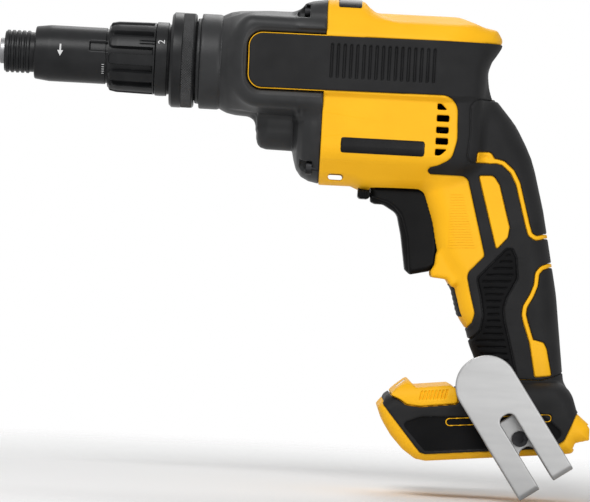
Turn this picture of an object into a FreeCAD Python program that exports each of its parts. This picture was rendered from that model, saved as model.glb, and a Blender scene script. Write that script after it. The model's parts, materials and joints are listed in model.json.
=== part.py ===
import FreeCAD, Part
import math
import os

os.makedirs("parts", exist_ok=True)

V = FreeCAD.Vector

# Frame: X runs back along the spindle from the centre of the nose face, Y is across the tool, Z is up.
# All sizes are in millimetres.

# Clearances
running = 0.08
slack = 0.3
trigger_gap = 0.5

# Nose and depth stop, radii stacked outwards from the spindle
spindle_r = 5.0
bit_flats = 6.35
holder_wall = 1.2
tip_wall = 1.5
tip_length = 14.0
tip_stand_out = 2.6
rib_r = 11.5
rib_depth = 1.1
rib_pitch = 3.0
nose_front_r = 14.1
snout_wall = 3.5
sleeve_wall = 2.1
nose_wall = 1.9
collar_wall = 1.6
pad_rise = 2.3
pad_gap = 5.2
depth_travel = 4.0
lock_r = 25.65
lock_wall = 4.15

# Lengths of the nose rings, counted forwards from the gear case's front face
case_x = 108.2
neck_length = 2.8
lock_length = 13.2
ring_length = 6.4
collar_length = 25.3
holder_x = 12.0
holder_length = 36.0
socket_depth = 14.0

# Lengths inside the gear case, counted backwards from its front face
flange_length = 10.4
throat_length = 9.6
bearing_length = 8.8
clutch_length = 29.0

# Gears: teeth of the motor pinion and of the drive gear
teeth = (12, 57)
gear_module = 1.0
gear_face = 10.0
clutch_travel = 2.0
clutch_cone_gap = 0.1

# Motor
stator_r = 23.0
stator_length = 26.0
rotor_r = 12.0
shaft_r = 2.5
fan_r = 20.5

# Body, handle and foot
handle_half = 18.5
foot_half = 35.0
handle_round = 12.0
wall = 3.0
skin = 1.0
foot_tilt = 5.75
deck_low = 16.0
deck_thick = 2.5
rail_wall = 4.0
rail_reach = 5.0
rail_thick = 3.5

# Trigger and button
trigger_half = 10.8
trigger_travel = 7.0
button_half = 15.0
button_travel = 3.5

# Belt hook
hook_strip = 2.0
hook_length = 61.0
hook_width = 34.3
hook_gap = 12.0
hook_slot = 8.6
hook_angle = 54.3
hook_screw_r = 2.5

# Radii that follow from the sizes above
holder_r = bit_flats / math.sqrt(3) + holder_wall
tip_bore = holder_r + 0.5
tip_r = tip_bore + tip_wall
snout_bore = spindle_r + 2.5
snout_r = snout_bore + snout_wall
sleeve_bore = snout_r + running
sleeve_r = sleeve_bore + sleeve_wall
nose_bore = sleeve_r + running
nose_r = nose_bore + nose_wall
collar_bore = nose_r + slack
collar_floor = collar_bore + collar_wall
collar_r = collar_floor + pad_rise
ring_r = collar_r + 0.5
neck_r = lock_r - lock_wall
bush_r = spindle_r + 3.0
bearing_r = spindle_r + 6.0
magnet_r = bit_flats / 2 - 0.275

# Stations along the nose
lock_back = case_x - neck_length
lock_front = lock_back - lock_length
ring_back = lock_front - 1.6
ring_front = ring_back - ring_length
collar_back = ring_front - slack
collar_front = collar_back - collar_length
nose_back = collar_front - 1.2
clip_x = collar_back - 5.2
tail_end = clip_x - depth_travel - 2.9
nose_shoulder = nose_back - 3.4 - depth_travel - 4.0
snout_front = nose_back + 4.6

# Motor axis below the spindle axis
axis_drop = gear_module * (teeth[0] + teeth[1]) / 2
motor_z = -axis_drop
tooth_top = 0.7 * gear_module
tooth_root = 1.1 * gear_module
gear_r = gear_module * teeth[1] / 2 + tooth_top
pinion_r = gear_module * teeth[0] / 2 + tooth_top
gear_room = gear_r + 0.95
pinion_room = pinion_r + 1.9

# Stations behind the gear case's front face
flange_end = case_x + flange_length
bearing_x = flange_end + throat_length
bearing_back = bearing_x + bearing_length
gear_x = bearing_back + clutch_length
gear_back = gear_x + gear_face
hub_back = gear_back + 1.5
joint_x = gear_back - 0.8
plate_front = hub_back + slack + 2.0
plate_back = plate_front + 7.6
stator_x = plate_back + 8.6
stator_end = stator_x + stator_length
fan_x = stator_end + 14.0
rear_seat = fan_x + 13.0
shaft_back = rear_seat + 13.0

# Widths and heights of the body, round the gears and the motor
body_half = gear_room + 3.35
lower_half = stator_r + 6.0
body_top = gear_room + 6.55
roof = body_top - 5.2
body_low = motor_z - stator_r - 5.3
channel_half = foot_half - rail_wall
mouth_half = channel_half - rail_reach


def corner_path(points, place, grow=0.0):
    """Closed wire of straight runs and tangent arcs through (a, b, radius) corners, grown outwards."""
    pts = [(float(a), float(b), float(r)) for a, b, r in points]
    area = sum(p[0] * q[1] - q[0] * p[1] for p, q in zip(pts, pts[1:] + pts[:1]))
    if area < 0:
        pts.reverse()
    count = len(pts)
    runs = []
    for i in range(count):
        a, b = pts[i], pts[(i + 1) % count]
        length = math.hypot(b[0] - a[0], b[1] - a[1])
        d = ((b[0] - a[0]) / length, (b[1] - a[1]) / length)
        runs.append((a[0] + d[1] * grow, a[1] - d[0] * grow, d[0], d[1]))
    corners = []
    for i in range(count):
        ax, ay, adx, ady = runs[i - 1]
        bx, by, bdx, bdy = runs[i]
        cross = adx * bdy - ady * bdx
        radius = pts[i][2]
        if abs(cross) < 1e-6:
            corners.append((bx, by, 0.0))
            continue
        t = ((bx - ax) * bdy - (by - ay) * bdx) / cross
        if radius > 0:
            radius = max(radius + (grow if cross > 0 else -grow), 0.0)
        corners.append((ax + adx * t, ay + ady * t, radius))
    edges = []
    last = None
    first = None
    for i in range(count):
        p, c, n = corners[i - 1], corners[i], corners[(i + 1) % count]
        u = V(p[0] - c[0], p[1] - c[1], 0).normalize()
        w = V(n[0] - c[0], n[1] - c[1], 0).normalize()
        here = V(c[0], c[1], 0)
        if c[2] > 1e-6:
            half = u.getAngle(w) / 2
            start = here + u * (c[2] / math.tan(half))
            end = here + w * (c[2] / math.tan(half))
            inward = (u + w).normalize()
            middle = here + inward * (c[2] / math.sin(half) - c[2])
            arc = (start, middle, end)
        else:
            start, end, arc = here, here, None
        if last is not None and last.distanceToPoint(start) > 1e-6:
            edges.append(Part.makeLine(place(last), place(start)))
        if arc:
            edges.append(Part.Arc(*[place(q) for q in arc]).toShape())
        if first is None:
            first = start
        last = end
    if last.distanceToPoint(first) > 1e-6:
        edges.append(Part.makeLine(place(last), place(first)))
    return Part.Wire(edges)


def slab(points, low, high, grow=0.0):
    """Side outline in X and Z, extruded across the tool from low to high."""
    face = Part.Face(corner_path(points, lambda q: V(q.x, low, q.y), grow))
    return face.extrude(V(0, high - low, 0))


def beam(points, x0, x1, grow=0.0):
    """Cross-section in Y and Z, extruded along the tool."""
    face = Part.Face(corner_path(points, lambda q: V(x0, q.x, q.y), grow))
    return face.extrude(V(x1 - x0, 0, 0))


def tube(x0, x1, outer, inner=0.0, y=0.0, z=0.0):
    body = Part.makeCylinder(outer, x1 - x0, V(x0, y, z), V(1, 0, 0))
    if inner > 0:
        body = body.cut(Part.makeCylinder(inner, x1 - x0 + 2, V(x0 - 1, y, z), V(1, 0, 0)))
    return body


def across(x, z, radius, low, high):
    return Part.makeCylinder(radius, high - low, V(x, low, z), V(0, 1, 0))


def block(x0, x1, y0, y1, z0, z1):
    return Part.makeBox(x1 - x0, y1 - y0, z1 - z0, V(x0, y0, z0))


def turned(profile, z=0.0):
    """Closed (x, radius) profile turned about an axis along X at height z."""
    corners = [V(x, 0, z + r) for x, r in profile]
    face = Part.Face(Part.makePolygon(corners + corners[:1]))
    return face.revolve(V(0, 0, z), V(1, 0, 0), 360)


def spun(shape, degrees, z=0.0):
    copy = shape.copy()
    copy.rotate(V(0, 0, z), V(1, 0, 0), degrees)
    return copy


def joined(shapes):
    first = shapes[0]
    return first.fuse(shapes[1:]) if len(shapes) > 1 else first


foot_base = V(shaft_back + 3, 0, -206)


def in_foot(shape):
    """Moves a shape from the foot's own tilted frame into the tool's frame."""
    shape.rotate(V(0, 0, 0), V(0, 1, 0), -foot_tilt)
    shape.translate(foot_base)
    return shape


def foot_block(u0, u1, y0, y1, w0, w1):
    return in_foot(block(u0, u1, y0, y1, w0, w1))


def foot_point(u, y, w):
    tilt = math.radians(foot_tilt)
    return foot_base + V(u * math.cos(tilt) - w * math.sin(tilt), y, u * math.sin(tilt) + w * math.cos(tilt))


def rounding(corner, before, after, reach):
    """Arc that touches both runs of a corner at the given reach from it."""
    u = (before - corner).normalize()
    w = (after - corner).normalize()
    half = u.getAngle(w) / 2
    inward = (u + w).normalize()
    middle = corner + inward * (reach / math.cos(half) - reach * math.tan(half))
    return Part.Arc(corner + u * reach, middle, corner + w * reach).toShape()


def coil(x0, x1, mean_r, wire_r, turns, z=0.0):
    """Compression spring along X between outside ends x0 and x1, on pairs of arcs for each quarter turn."""
    length = x1 - x0 - 2 * wire_r
    rise = length / (2 * math.pi * turns)
    points = []
    for quarter in range(4 * turns + 1):
        t = quarter * math.pi / 2
        place = V(x0 + wire_r + rise * t, mean_r * math.sin(t), z + mean_r * math.cos(t))
        points.append((place, V(rise, mean_r * math.cos(t), -mean_r * math.sin(t)).normalize()))
    edges = []
    for (start, leaving), (end, arriving) in zip(points, points[1:]):
        span = end - start
        along = span.dot(leaving + arriving)
        bend = 2 * (leaving.dot(arriving) - 1)
        reach = (along - math.sqrt(along * along - bend * span.dot(span))) / bend
        first = start + leaving * reach
        second = end - arriving * reach
        edges.append(rounding(first, start, second, reach))
        edges.append(rounding(second, first, end, reach))
    ring = Part.Wire(Part.makeCircle(wire_r, points[0][0], points[0][1]))
    return Part.Wire(edges).makePipeShell([ring], True, False)


def lead(points, radius):
    """Insulated wire along straight runs joined by tangent arcs as large as the runs allow."""
    pts = [V(*p) for p in points]
    edges = []
    last = pts[0]
    for before, here, after in zip(pts, pts[1:], pts[2:]):
        reach = 0.45 * min((before - here).Length, (after - here).Length)
        arc = rounding(here, before, after, reach)
        edges.append(Part.makeLine(last, arc.firstVertex().Point))
        edges.append(arc)
        last = arc.lastVertex().Point
    edges.append(Part.makeLine(last, pts[-1]))
    path = Part.Wire(edges)
    ring = Part.Wire(Part.makeCircle(radius, pts[0], pts[1] - pts[0]))
    return path.makePipeShell([ring], True, True)


def gear_blank(count, x0, x1, z, phase):
    """Spur gear with involute flanks, thinned a little at the pitch circle for backlash."""
    pitch = gear_module * count / 2
    base = pitch * math.cos(math.radians(20))
    top = pitch + tooth_top
    root = pitch - tooth_root
    involute = math.tan(math.radians(20)) - math.radians(20)
    half = math.pi / (2 * count) - 0.035 * gear_module / pitch
    start = max(base, root)
    flank = []
    if root < base:
        flank.append((root, half + involute))
    for step in range(4):
        r = start + (top - start) * step / 3
        angle = math.acos(min(1.0, base / r))
        flank.append((r, half + involute - (math.tan(angle) - angle)))
    corners = []
    for tooth in range(count):
        middle = phase + 2 * math.pi * tooth / count
        sides = [(r, middle - a) for r, a in flank] + [(r, middle + a) for r, a in reversed(flank)]
        corners += [V(x0, r * math.sin(t), z + r * math.cos(t)) for r, t in sides]
    return Part.Face(Part.makePolygon(corners + corners[:1])).extrude(V(x1 - x0, 0, 0))


def save(name, shapes):
    shapes = shapes if isinstance(shapes, list) else [shapes]
    solids = [s for shape in shapes for s in shape.Solids]
    out = solids[0] if len(solids) == 1 else Part.makeCompound(solids)
    print(name, len(solids), "solids", round(sum(s.Volume for s in solids)), "mm3", out.isValid())
    out.exportStep("parts/" + name + ".step")


# Nose: steel tip, ribbed nosepiece, fluted collar, index ring on its sleeve, knurled lock ring
tip_edge = 0.6
nose_tip = turned([
    (0, tip_bore), (0, tip_r - tip_edge), (tip_edge, tip_r), (tip_length, tip_r), (tip_length, tip_bore),
])
save("nose_tip", nose_tip)

rib_x = tip_stand_out + 1.0
profile = [(tip_stand_out, tip_r), (tip_stand_out, rib_r - 0.6)]
for k in range(4):
    x = rib_x + k * rib_pitch
    profile += [(x, rib_r), (x + rib_pitch * 0.5, rib_r), (x + rib_pitch * 0.65, rib_r - rib_depth)]
    profile += [(x + rib_pitch * 0.85, rib_r - rib_depth)]
rib_end = rib_x + 4 * rib_pitch
profile += [(rib_end, rib_r), (rib_end + 1.0, rib_r), (rib_end + 1.3, rib_r - rib_depth)]
profile += [(rib_end + 2.2, rib_r - rib_depth)]
profile += [(rib_end + 2.3, nose_front_r - 0.5), (rib_end + 2.8, nose_front_r)]
profile += [(rib_end + 10.4, nose_r), (nose_back - 0.4, nose_r), (nose_back, nose_r - 0.4)]
profile += [(nose_back, nose_r - 0.6), (tail_end, nose_r - 0.6), (tail_end, nose_bore)]
profile += [(nose_shoulder, nose_bore), (nose_shoulder, tip_r - 0.5)]
profile += [(tip_length, tip_r - 0.5), (tip_length, tip_r)]
nosepiece = turned(profile)
key_notch = spun(block(nose_back - 8.0, nose_back + 1, -20, -nose_bore + 0.2, -2.3, 2.3), -20)
nosepiece = nosepiece.cut(key_notch)
save("nosepiece", nosepiece)

collar = turned([
    (collar_front, collar_bore), (collar_front, collar_floor - 0.4),
    (collar_front + 1.4, collar_floor + 0.6),
    (collar_front + 7.0, collar_r - 0.5), (collar_back - 4.0, collar_r), (collar_back, collar_r),
    (collar_back, sleeve_r + running), (collar_back - 4.0, sleeve_r + running),
    (collar_back - 4.0, collar_bore),
])
flute = block(collar_front + 9.0, collar_back + 5, -pad_gap / 2, pad_gap / 2, collar_floor, collar_r + 5)
flute = flute.fuse(Part.makeCylinder(pad_gap / 2, 10, V(collar_front + 9.0, 0, collar_floor), V(0, 0, 1)))
collar = collar.cut([spun(flute, 36 * k + 18) for k in range(10)])
save("depth_collar", collar)

index_sleeve = turned([
    (nose_back - 3.4, sleeve_bore), (nose_back - 3.4, sleeve_r),
    (clip_x, sleeve_r), (clip_x, sleeve_r - 0.7),
    (clip_x + 0.9, sleeve_r - 0.7), (clip_x + 0.9, sleeve_r),
    (ring_front, sleeve_r), (ring_front, ring_r - 0.4),
    (ring_front + 0.4, ring_r), (ring_back - 0.6, ring_r),
    (ring_back, ring_r - 0.6), (ring_back, sleeve_bore),
])
save("index_sleeve", index_sleeve)

clip_gap = block(clip_x - 1, clip_x + 2, -1.5, 1.5, 0, 30)
save("collar_clip", tube(clip_x, clip_x + 0.9, sleeve_r + 1.6, sleeve_r - 0.7).cut(clip_gap))

lock_ring = turned([
    (lock_front, snout_r + 0.6), (lock_front, lock_r - 1.6),
    (lock_front + 1.2, lock_r), (lock_back - 1.0, lock_r),
    (lock_back, lock_r - 1.2), (lock_back, neck_r + running), (lock_front + 1.6, neck_r + running),
    (lock_front + 1.6, snout_r + 0.6),
])
save("lock_ring", lock_ring)

lock_clip_x = lock_front - 1.2
lock_gap = block(lock_clip_x - 1, lock_clip_x + 2, -1.5, 1.5, 0, 30)
save("lock_clip", tube(lock_clip_x, lock_clip_x + 0.8, snout_r + 2.6, snout_r - 0.7).cut(lock_gap))

# Gear case: turned barrel round the spindle, turned lobe round the pinion, and the web between them
barrel = turned([
    (case_x, 0), (case_x, lock_r - 0.7), (case_x + 0.7, lock_r),
    (flange_end, lock_r), (flange_end + 0.8, lock_r - 0.4),
    (bearing_x - 4.5, gear_room - 2.95), (bearing_x, gear_room - 2.05),
    (bearing_back + 7, gear_room - 1.05),
    (gear_x - 8.3, gear_room - 0.75), (gear_x - 5.7, gear_room + 0.85), (gear_x - 3.1, gear_room + 2.85),
    (gear_x + 0.6, gear_room + 4.45), (gear_x + 4.9, gear_room + 5.25),
    (joint_x, gear_room + 6.35), (joint_x, 0),
])
case_half = body_half - 0.5
barrel = barrel.common(block(case_x - 1, joint_x, -case_half, case_half, -2 * gear_room, 2 * gear_room))
boss_r = pinion_room + 2.6
lobe_r = stator_r + 5.2
lobe = turned([
    (gear_x - 25.7, 0), (gear_x - 25.7, boss_r - 4.7),
    (gear_x - 24.7, boss_r - 2.4), (gear_x - 23, boss_r - 0.8),
    (gear_x - 20, boss_r), (gear_x - 6, boss_r + 0.2),
    (gear_x - 5, boss_r + 4.8), (gear_x - 3.4, lobe_r - 7),
    (gear_x - 0.6, lobe_r - 3.3), (gear_x + 3.6, lobe_r - 1.1), (joint_x, lobe_r), (joint_x, 0),
], motor_z)
web_half = [(gear_x - 25, boss_r - 2.7), (gear_x - 6, boss_r - 2.2), (joint_x, lobe_r - 0.2)]
web_corners = [V(x, -y, motor_z) for x, y in web_half] + [V(x, y, motor_z) for x, y in reversed(web_half)]
web = Part.Face(Part.makePolygon(web_corners + web_corners[:1])).extrude(V(0, 0, axis_drop))
snout = tube(snout_front, case_x + 1, snout_r)
neck = tube(lock_front + 1.6 + slack, case_x + 1, neck_r)
front_bush_end = snout_front + 16
shoulder_end = bearing_back + 6.5
case_rooms = [
    tube(snout_front - 1, front_bush_end, bush_r),
    tube(front_bush_end - 1, bearing_x - 1.2, spindle_r + 1.5),
    tube(bearing_x - 4.2, bearing_x - 1.2, spindle_r + 4.0),
    tube(bearing_x - 2.2, bearing_back + clutch_travel + 1.5, bearing_r + running),
    tube(bearing_back + 2, shoulder_end + clutch_travel + 0.5, spindle_r + 4.0),
    tube(bearing_back + 7.5, gear_x - 1.5, spindle_r + 15.0),
    tube(gear_x - 1.5, joint_x + 1, gear_room),
    tube(gear_x - 19.5, gear_x - 11, shaft_r + 2.5, 0, 0, motor_z),
    tube(gear_x - 12, joint_x + 1, pinion_room, 0, 0, motor_z),
    tube(lock_clip_x, lock_clip_x + 0.8, snout_r + 3, snout_r - 0.7),
]
case_screw_r = 2.0
upper_reach = gear_room + 2.85
lower_reach = stator_r + 3.3
upper_turn = math.radians(30)
lower_turn = math.radians(40)
screw_spots = [
    (upper_reach * math.sin(upper_turn), upper_reach * math.cos(upper_turn), gear_x),
    (lower_reach * math.sin(lower_turn), motor_z - lower_reach * math.cos(lower_turn), gear_x + 5),
]
screw_end = plate_back + 0.6
case_screws = []
screw_holes = []
for y, z, seat in screw_spots:
    for side in (-1, 1):
        head = tube(seat - 3.0, seat, 3.6, 0, side * y, z)
        socket = tube(seat - 3.2, seat - 1.4, 1.9, 0, side * y, z)
        shank = tube(seat, screw_end, case_screw_r, 0, side * y, z)
        case_screws.append(head.cut(socket).fuse(shank))
        screw_holes.append(tube(gear_x - 16, seat, 4.2, 0, side * y, z))
        screw_holes.append(tube(gear_x - 16, screw_end, case_screw_r, 0, side * y, z))
gear_case = joined([barrel, lobe, web, snout, neck]).cut(case_rooms).cut(screw_holes)
save("gear_case", gear_case)
save("gear_case_screws", case_screws)

# Spindle line: bit holder, magnet, spindle, bearings, cone clutch, spring and drive gear
hex_r = (bit_flats + 0.1) / math.sqrt(3)
hex_turns = [math.pi * k / 3 for k in range(7)]
hex_pts = [V(holder_x - 1, hex_r * math.sin(t), hex_r * math.cos(t)) for t in hex_turns]
hex_hole = Part.Face(Part.makePolygon(hex_pts)).extrude(V(socket_depth + 1, 0, 0))
magnet_end = holder_x + socket_depth + 4
holder_end = holder_x + holder_length
tang_r = spindle_r - 1.8
holder = tube(holder_x, holder_end, holder_r)
holder = holder.cut([
    hex_hole, tube(magnet_end - 4, magnet_end, magnet_r), tube(holder_end - 8, holder_end + 1, tang_r),
])
save("bit_holder", holder)
save("bit_magnet", tube(magnet_end - 4, magnet_end, magnet_r))

spindle = turned([
    (holder_end - 8, 0), (holder_end - 8, tang_r), (holder_end, tang_r), (holder_end, spindle_r),
    (bearing_back + 0.2, spindle_r), (bearing_back + 0.2, spindle_r + 2), (shoulder_end, spindle_r + 2),
    (shoulder_end, spindle_r), (hub_back + slack, spindle_r), (hub_back + slack, spindle_r - 1),
    (plate_back + 2.6, spindle_r - 1), (plate_back + 2.6, 0),
])
groove_x = bearing_x - 1.2
spindle = spindle.cut(tube(groove_x, groove_x + 1, spindle_r + 3, spindle_r - 0.6))
save("spindle", spindle)
snap_gap = block(groove_x - 1, groove_x + 2, -1.2, 1.2, 0, 20)
save("spindle_clip", tube(groove_x, groove_x + 1, spindle_r + 1.6, spindle_r - 0.6).cut(snap_gap))

bearing = tube(bearing_x, bearing_back, bearing_r, spindle_r + running)
groove = turned([
    (bearing_x - 0.2, spindle_r + 2), (bearing_x + 1.4, spindle_r + 2.4),
    (bearing_x + 1.4, spindle_r + 3.8),
    (bearing_x - 0.2, spindle_r + 4.2),
])
save("spindle_bearing", bearing.cut(groove))
save("front_bush", tube(snout_front, front_bush_end, bush_r, spindle_r + running))

cone_front = gear_x - 14.0
cone_floor = gear_x - 6.0
cone_depth = 4.0
cone_r = spindle_r + 11.5
male = cone_r - clutch_cone_gap - 0.5 * clutch_travel
male_end = gear_x + cone_depth - 0.2 - clutch_travel
clutch_cone = turned([
    (cone_front, spindle_r), (cone_front, male - 3), (cone_front + 3, male), (gear_x, male),
    (male_end, male - 0.5 * (male_end - gear_x)), (male_end, spindle_r + 6), (cone_floor, spindle_r + 6),
    (cone_floor, spindle_r),
])
save("clutch_cone", clutch_cone)

gear_phase = math.pi + math.pi / teeth[1]
bush_out = spindle_r + 1.1
gear_hub = tube(gear_back - 1, hub_back, spindle_r + 5)
drive_gear = gear_blank(teeth[1], gear_x, gear_back, 0, gear_phase).fuse(gear_hub)
cup_end = gear_x + cone_depth
cup_floor_r = cone_r - 0.5 * cone_depth
cup = turned([(gear_x - 1, 0), (gear_x - 1, cone_r + 0.5), (cup_end, cup_floor_r), (cup_end, 0)])
spring_seat = gear_back - 3.0
drive_gear = drive_gear.cut([
    cup, tube(gear_x, spring_seat, spindle_r + 6), tube(gear_x - 1, hub_back + 1, bush_out),
])
pocket = tube(gear_back - 3, gear_back + 1, gear_r - 5.5, spindle_r + 7)
drive_gear = drive_gear.cut(pocket)
save("drive_gear", drive_gear)
save("gear_bush", tube(spring_seat - 4, hub_back, bush_out, spindle_r + running))
save("clutch_spring", coil(cone_floor, spring_seat, spindle_r + 3.6, 0.7, 4))

save("thrust_washer", tube(hub_back + slack, plate_front, spindle_r + 5.5, spindle_r + 0.6))

# Motor: pinion, shaft, rotor, fan, bearings, stator, windings and sensor board
save("motor_shaft", tube(gear_x - 18.5, shaft_back, shaft_r, 0, 0, motor_z))
pinion = gear_blank(teeth[0], gear_x - 2, gear_back + 1.2, motor_z, 0.0)
pinion = pinion.cut(tube(gear_x - 4, gear_back + 3, shaft_r, 0, 0, motor_z))
save("motor_pinion", pinion)
save("pinion_bush", tube(gear_x - 19.5, gear_x - 12, shaft_r + 2.5, shaft_r + running, 0, motor_z))
motor_bearing_r = shaft_r + 5.5
save("front_motor_bearing", tube(plate_back - 6, plate_back, motor_bearing_r, shaft_r + running, 0, motor_z))
save("rear_motor_bearing", tube(rear_seat, rear_seat + 6, motor_bearing_r, shaft_r + running, 0, motor_z))

save("rotor_core", tube(stator_x, stator_end, rotor_r, shaft_r, 0, motor_z))
tooth = block(stator_x, stator_end, -3, 3, motor_z + rotor_r + 0.4, motor_z + stator_r - 2)
coil_room = stator_r - rotor_r
coil_low = motor_z + rotor_r + 0.2 * coil_room
yoke_r = stator_r - 7 * coil_room / 22
shoe = block(stator_x, stator_end, -5, 5, motor_z + rotor_r + 0.4, coil_low)
stator = tube(stator_x, stator_end, stator_r, yoke_r, 0, motor_z)
stator = joined([stator] + [spun(tooth.fuse(shoe), 60 * k, motor_z) for k in range(6)])
stator = stator.cut(tube(stator_x - 1, stator_end + 1, rotor_r + 0.4, 0, 0, motor_z))
save("stator_core", stator)
wind = 3.5
coil_top = motor_z + yoke_r - 0.1 * coil_room
winding = block(stator_x - wind, stator_end + wind, -5.4, 5.4, coil_low, coil_top)
window = block(stator_x, stator_end, -3, 3, motor_z, motor_z + stator_r + 2)
save("stator_windings", [spun(winding.cut(window), 60 * k, motor_z) for k in range(6)])
board_x = stator_end + wind
save("sensor_board", tube(board_x, board_x + 1.5, stator_r - 1, shaft_r + 3.5, 0, motor_z))

blade = block(fan_x, fan_x + 7, -0.6, 0.6, motor_z + 5, motor_z + fan_r - 0.5)
blade.rotate(V(fan_x + 3, 0, motor_z + 12), V(0, 0, 1), 20)
fan_hub = tube(fan_x - 1, fan_x + 8, 6, 0, 0, motor_z)
fan_disc = tube(fan_x + 6.6, fan_x + 8, fan_r, 0, 0, motor_z)
fan = joined([fan_hub, fan_disc] + [spun(blade, 40 * k, motor_z) for k in range(9)])
save("motor_fan", fan.cut(tube(fan_x - 3, fan_x + 10, shaft_r, 0, 0, motor_z)))

plate = joined([
    tube(plate_front, plate_back, gear_room), tube(plate_front, plate_back, motor_bearing_r + 11, 0, 0, motor_z),
    block(plate_front, plate_back, -motor_bearing_r - 9, motor_bearing_r + 9, motor_z, 0),
])
rear_bush_r = spindle_r + 2
plate_shape = plate
case_bosses = [
    tube(joint_x, plate_back + 4.6, 4.5, 0, side * y, z) for y, z, seat in screw_spots for side in (-1, 1)
]
plate = plate.cut(case_bosses).cut([
    tube(plate_front - 1, plate_back + 1, rear_bush_r),
    tube(plate_back - 6, plate_back + 1, motor_bearing_r, 0, 0, motor_z),
    tube(plate_front - 1, plate_back, shaft_r + 1.5, 0, 0, motor_z),
])
save("bearing_plate", plate)
save("rear_bush", tube(plate_front, plate_back, rear_bush_r, spindle_r - 1 + running))

# Outer form: body, handle and foot, each made at any growth so that walls and skins follow it
front_x = joint_x - 15.0
body_side = [
    (front_x, body_top, 0), (joint_x + 19.8, body_top, 8),
    (joint_x + 28.3, roof, 10), (shaft_back - 19, roof, 40),
    (shaft_back + 4.5, roof - 5.9, 3.2), (shaft_back + 9, roof - 13, 3.2), (shaft_back, 5, 10),
    (shaft_back, motor_z - stator_r / 2, 10), (shaft_back - 16, body_low - 0.2, 12),
    (shaft_back - 40, body_low - 0.4, 0),
    (shaft_back - 62.5, body_low - 2, 0), (shaft_back - 69.5, body_low + 0.2, 0), (front_x, body_low, 0),
]
body_half_section = [
    (14, body_top + 0.3, 8), (body_half, 20.5, 9), (body_half, -13.2, 1.5), (lower_half + 1.5, -16, 1.5),
    (lower_half, motor_z - stator_r / 2, 16), (12, body_low - 2.2, 10),
]
body_section = body_half_section + [(-y, z, r) for y, z, r in reversed(body_half_section)]
body_half_plan = [
    (front_x - 5, body_half, 0), (shaft_back - 13, body_half, 16), (shaft_back + 14, body_half - 18, 0),
]
body_plan = body_half_plan + [(x, -y, r) for x, y, r in reversed(body_half_plan)]
foot_side = [
    (-41.8, 39.5, 3), (-3.1, 39.5, 0), (29.4, 42.3, 0), (51.8, 40.5, 3),
    (57.9, 23.3, 3), (64.8, 15.1, 4), (63.6, 7.1, 1.5),
    (55.5, 5.9, 0.5), (53.7, 0.6, 2.5), (48.7, 0.3, 1), (-25.1, 0.2, 3),
    (-29.3, 2.1, 3), (-41.2, 15.6, 4), (-49.1, 31.1, 1),
]
foot_section = [(-foot_half, -30, 0), (foot_half, -30, 0), (foot_half, 39.6, 12), (-foot_half, 39.6, 12)]


def behind(points):
    """Side outline written from the end of the motor shaft, moved to its place."""
    return [(shaft_back + x, z, r) for x, z, r in points]


handle_side = behind([
    (-27, 20, 0), (-38, -45, 0), (-26, -82, 60), (-20.5, -104, 20),
    (-12, -118, 30), (-5, -138.5, 60), (3, -154, 30),
    (6, -190, 0), (54, -190, 0), (49.3, -156, 100), (44, -116, 100),
    (34, -66, 80), (21, -30, 30), (1.2, -3, 14), (0, 20, 0),
])


def body_form(grow):
    plan = Part.Face(corner_path(body_plan, lambda q: V(q.x, q.y, -120), grow)).extrude(V(0, 0, 240))
    form = slab(body_side, -60, 60, grow).common(beam(body_section, front_x - 5, shaft_back + 30, grow))
    return form.common(plan)


def handle_form(grow):
    half = handle_half + grow
    form = slab(handle_side, -half, half, grow)
    long_edges = []
    for edge in form.Edges:
        box = edge.BoundBox
        flat = box.YLength < 1e-3 and abs(abs(box.YMin) - half) < 1e-3
        if flat and box.ZLength > 1.0:
            long_edges.append(edge)
    return form.makeFillet(handle_round + grow, long_edges)


def foot_form(grow):
    side = slab(foot_side, -60, 60, grow)
    return in_foot(side.common(beam(foot_section, -70, 90, grow)))


solid_form = joined([body_form(0), handle_form(0), foot_form(0)])
grown_form = joined([body_form(skin), handle_form(skin), foot_form(skin)])
back_half = block(joint_x, shaft_back + 100, -80, 80, -260, 80)
body_room = body_form(-wall)
handle_room = handle_form(-wall)
foot_room = foot_form(-wall).common(foot_block(-80, 90, -80, 80, deck_low + deck_thick, 80))
channel = [
    foot_block(-22, 90, -channel_half, channel_half, rail_thick, deck_low),
    foot_block(-22, 90, -mouth_half, mouth_half, -12, rail_thick + 1),
]
handle_room = handle_room.cut(foot_block(-80, 90, -80, 80, -40, deck_low + deck_thick))

# Trigger, its stem and spring, the switch behind it and the reversing button above it
def under(points):
    """Side outline written from the motor shaft's end and the underside of the body, moved to its place."""
    return [(shaft_back + x, body_low + z, r) for x, z, r in points]


trigger_side = under([
    (-58.6, -9.2, 0.6), (-51.5, -9.2, 4), (-43.8, -13.7, 6),
    (-41, -25.2, 20), (-38, -43.7, 2), (-35, -46.2, 1.5),
    (-25.5, -44, 2), (-20, -41.2, 0), (-20, -13.2, 0), (-31, -7, 4),
    (-36.5, -2.8, 3), (-47.5, -2.8, 1), (-55.6, -7, 1),
])
stem_z = body_low - 25.2
stem_r = 3.0
trigger_back = shaft_back - 20
switch_x = trigger_back + trigger_travel + 1
switch_half = trigger_half - 0.3
trigger = slab(trigger_side, -trigger_half, trigger_half)
trigger = trigger.fuse(tube(trigger_back - 1, switch_x + 2, stem_r, 0, 0, stem_z))
save("trigger", trigger)
pocket_low = slab(trigger_side, -trigger_half - trigger_gap, trigger_half + trigger_gap, trigger_gap)
pocket_high = pocket_low.copy()
pocket_high.translate(V(trigger_travel + slack, 0, 0))
trigger_room = pocket_low.fuse(pocket_high)
save("trigger_spring", coil(trigger_back, switch_x, stem_r + 1.2, 0.5, 5, stem_z))
switch_box = block(switch_x, switch_x + 22, -switch_half, switch_half, stem_z - 16, stem_z + 16)
stem_room = tube(switch_x - 1, switch_x + trigger_travel + 4, stem_r + slack, 0, 0, stem_z)
save("switch_body", switch_box.cut(stem_room))

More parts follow.
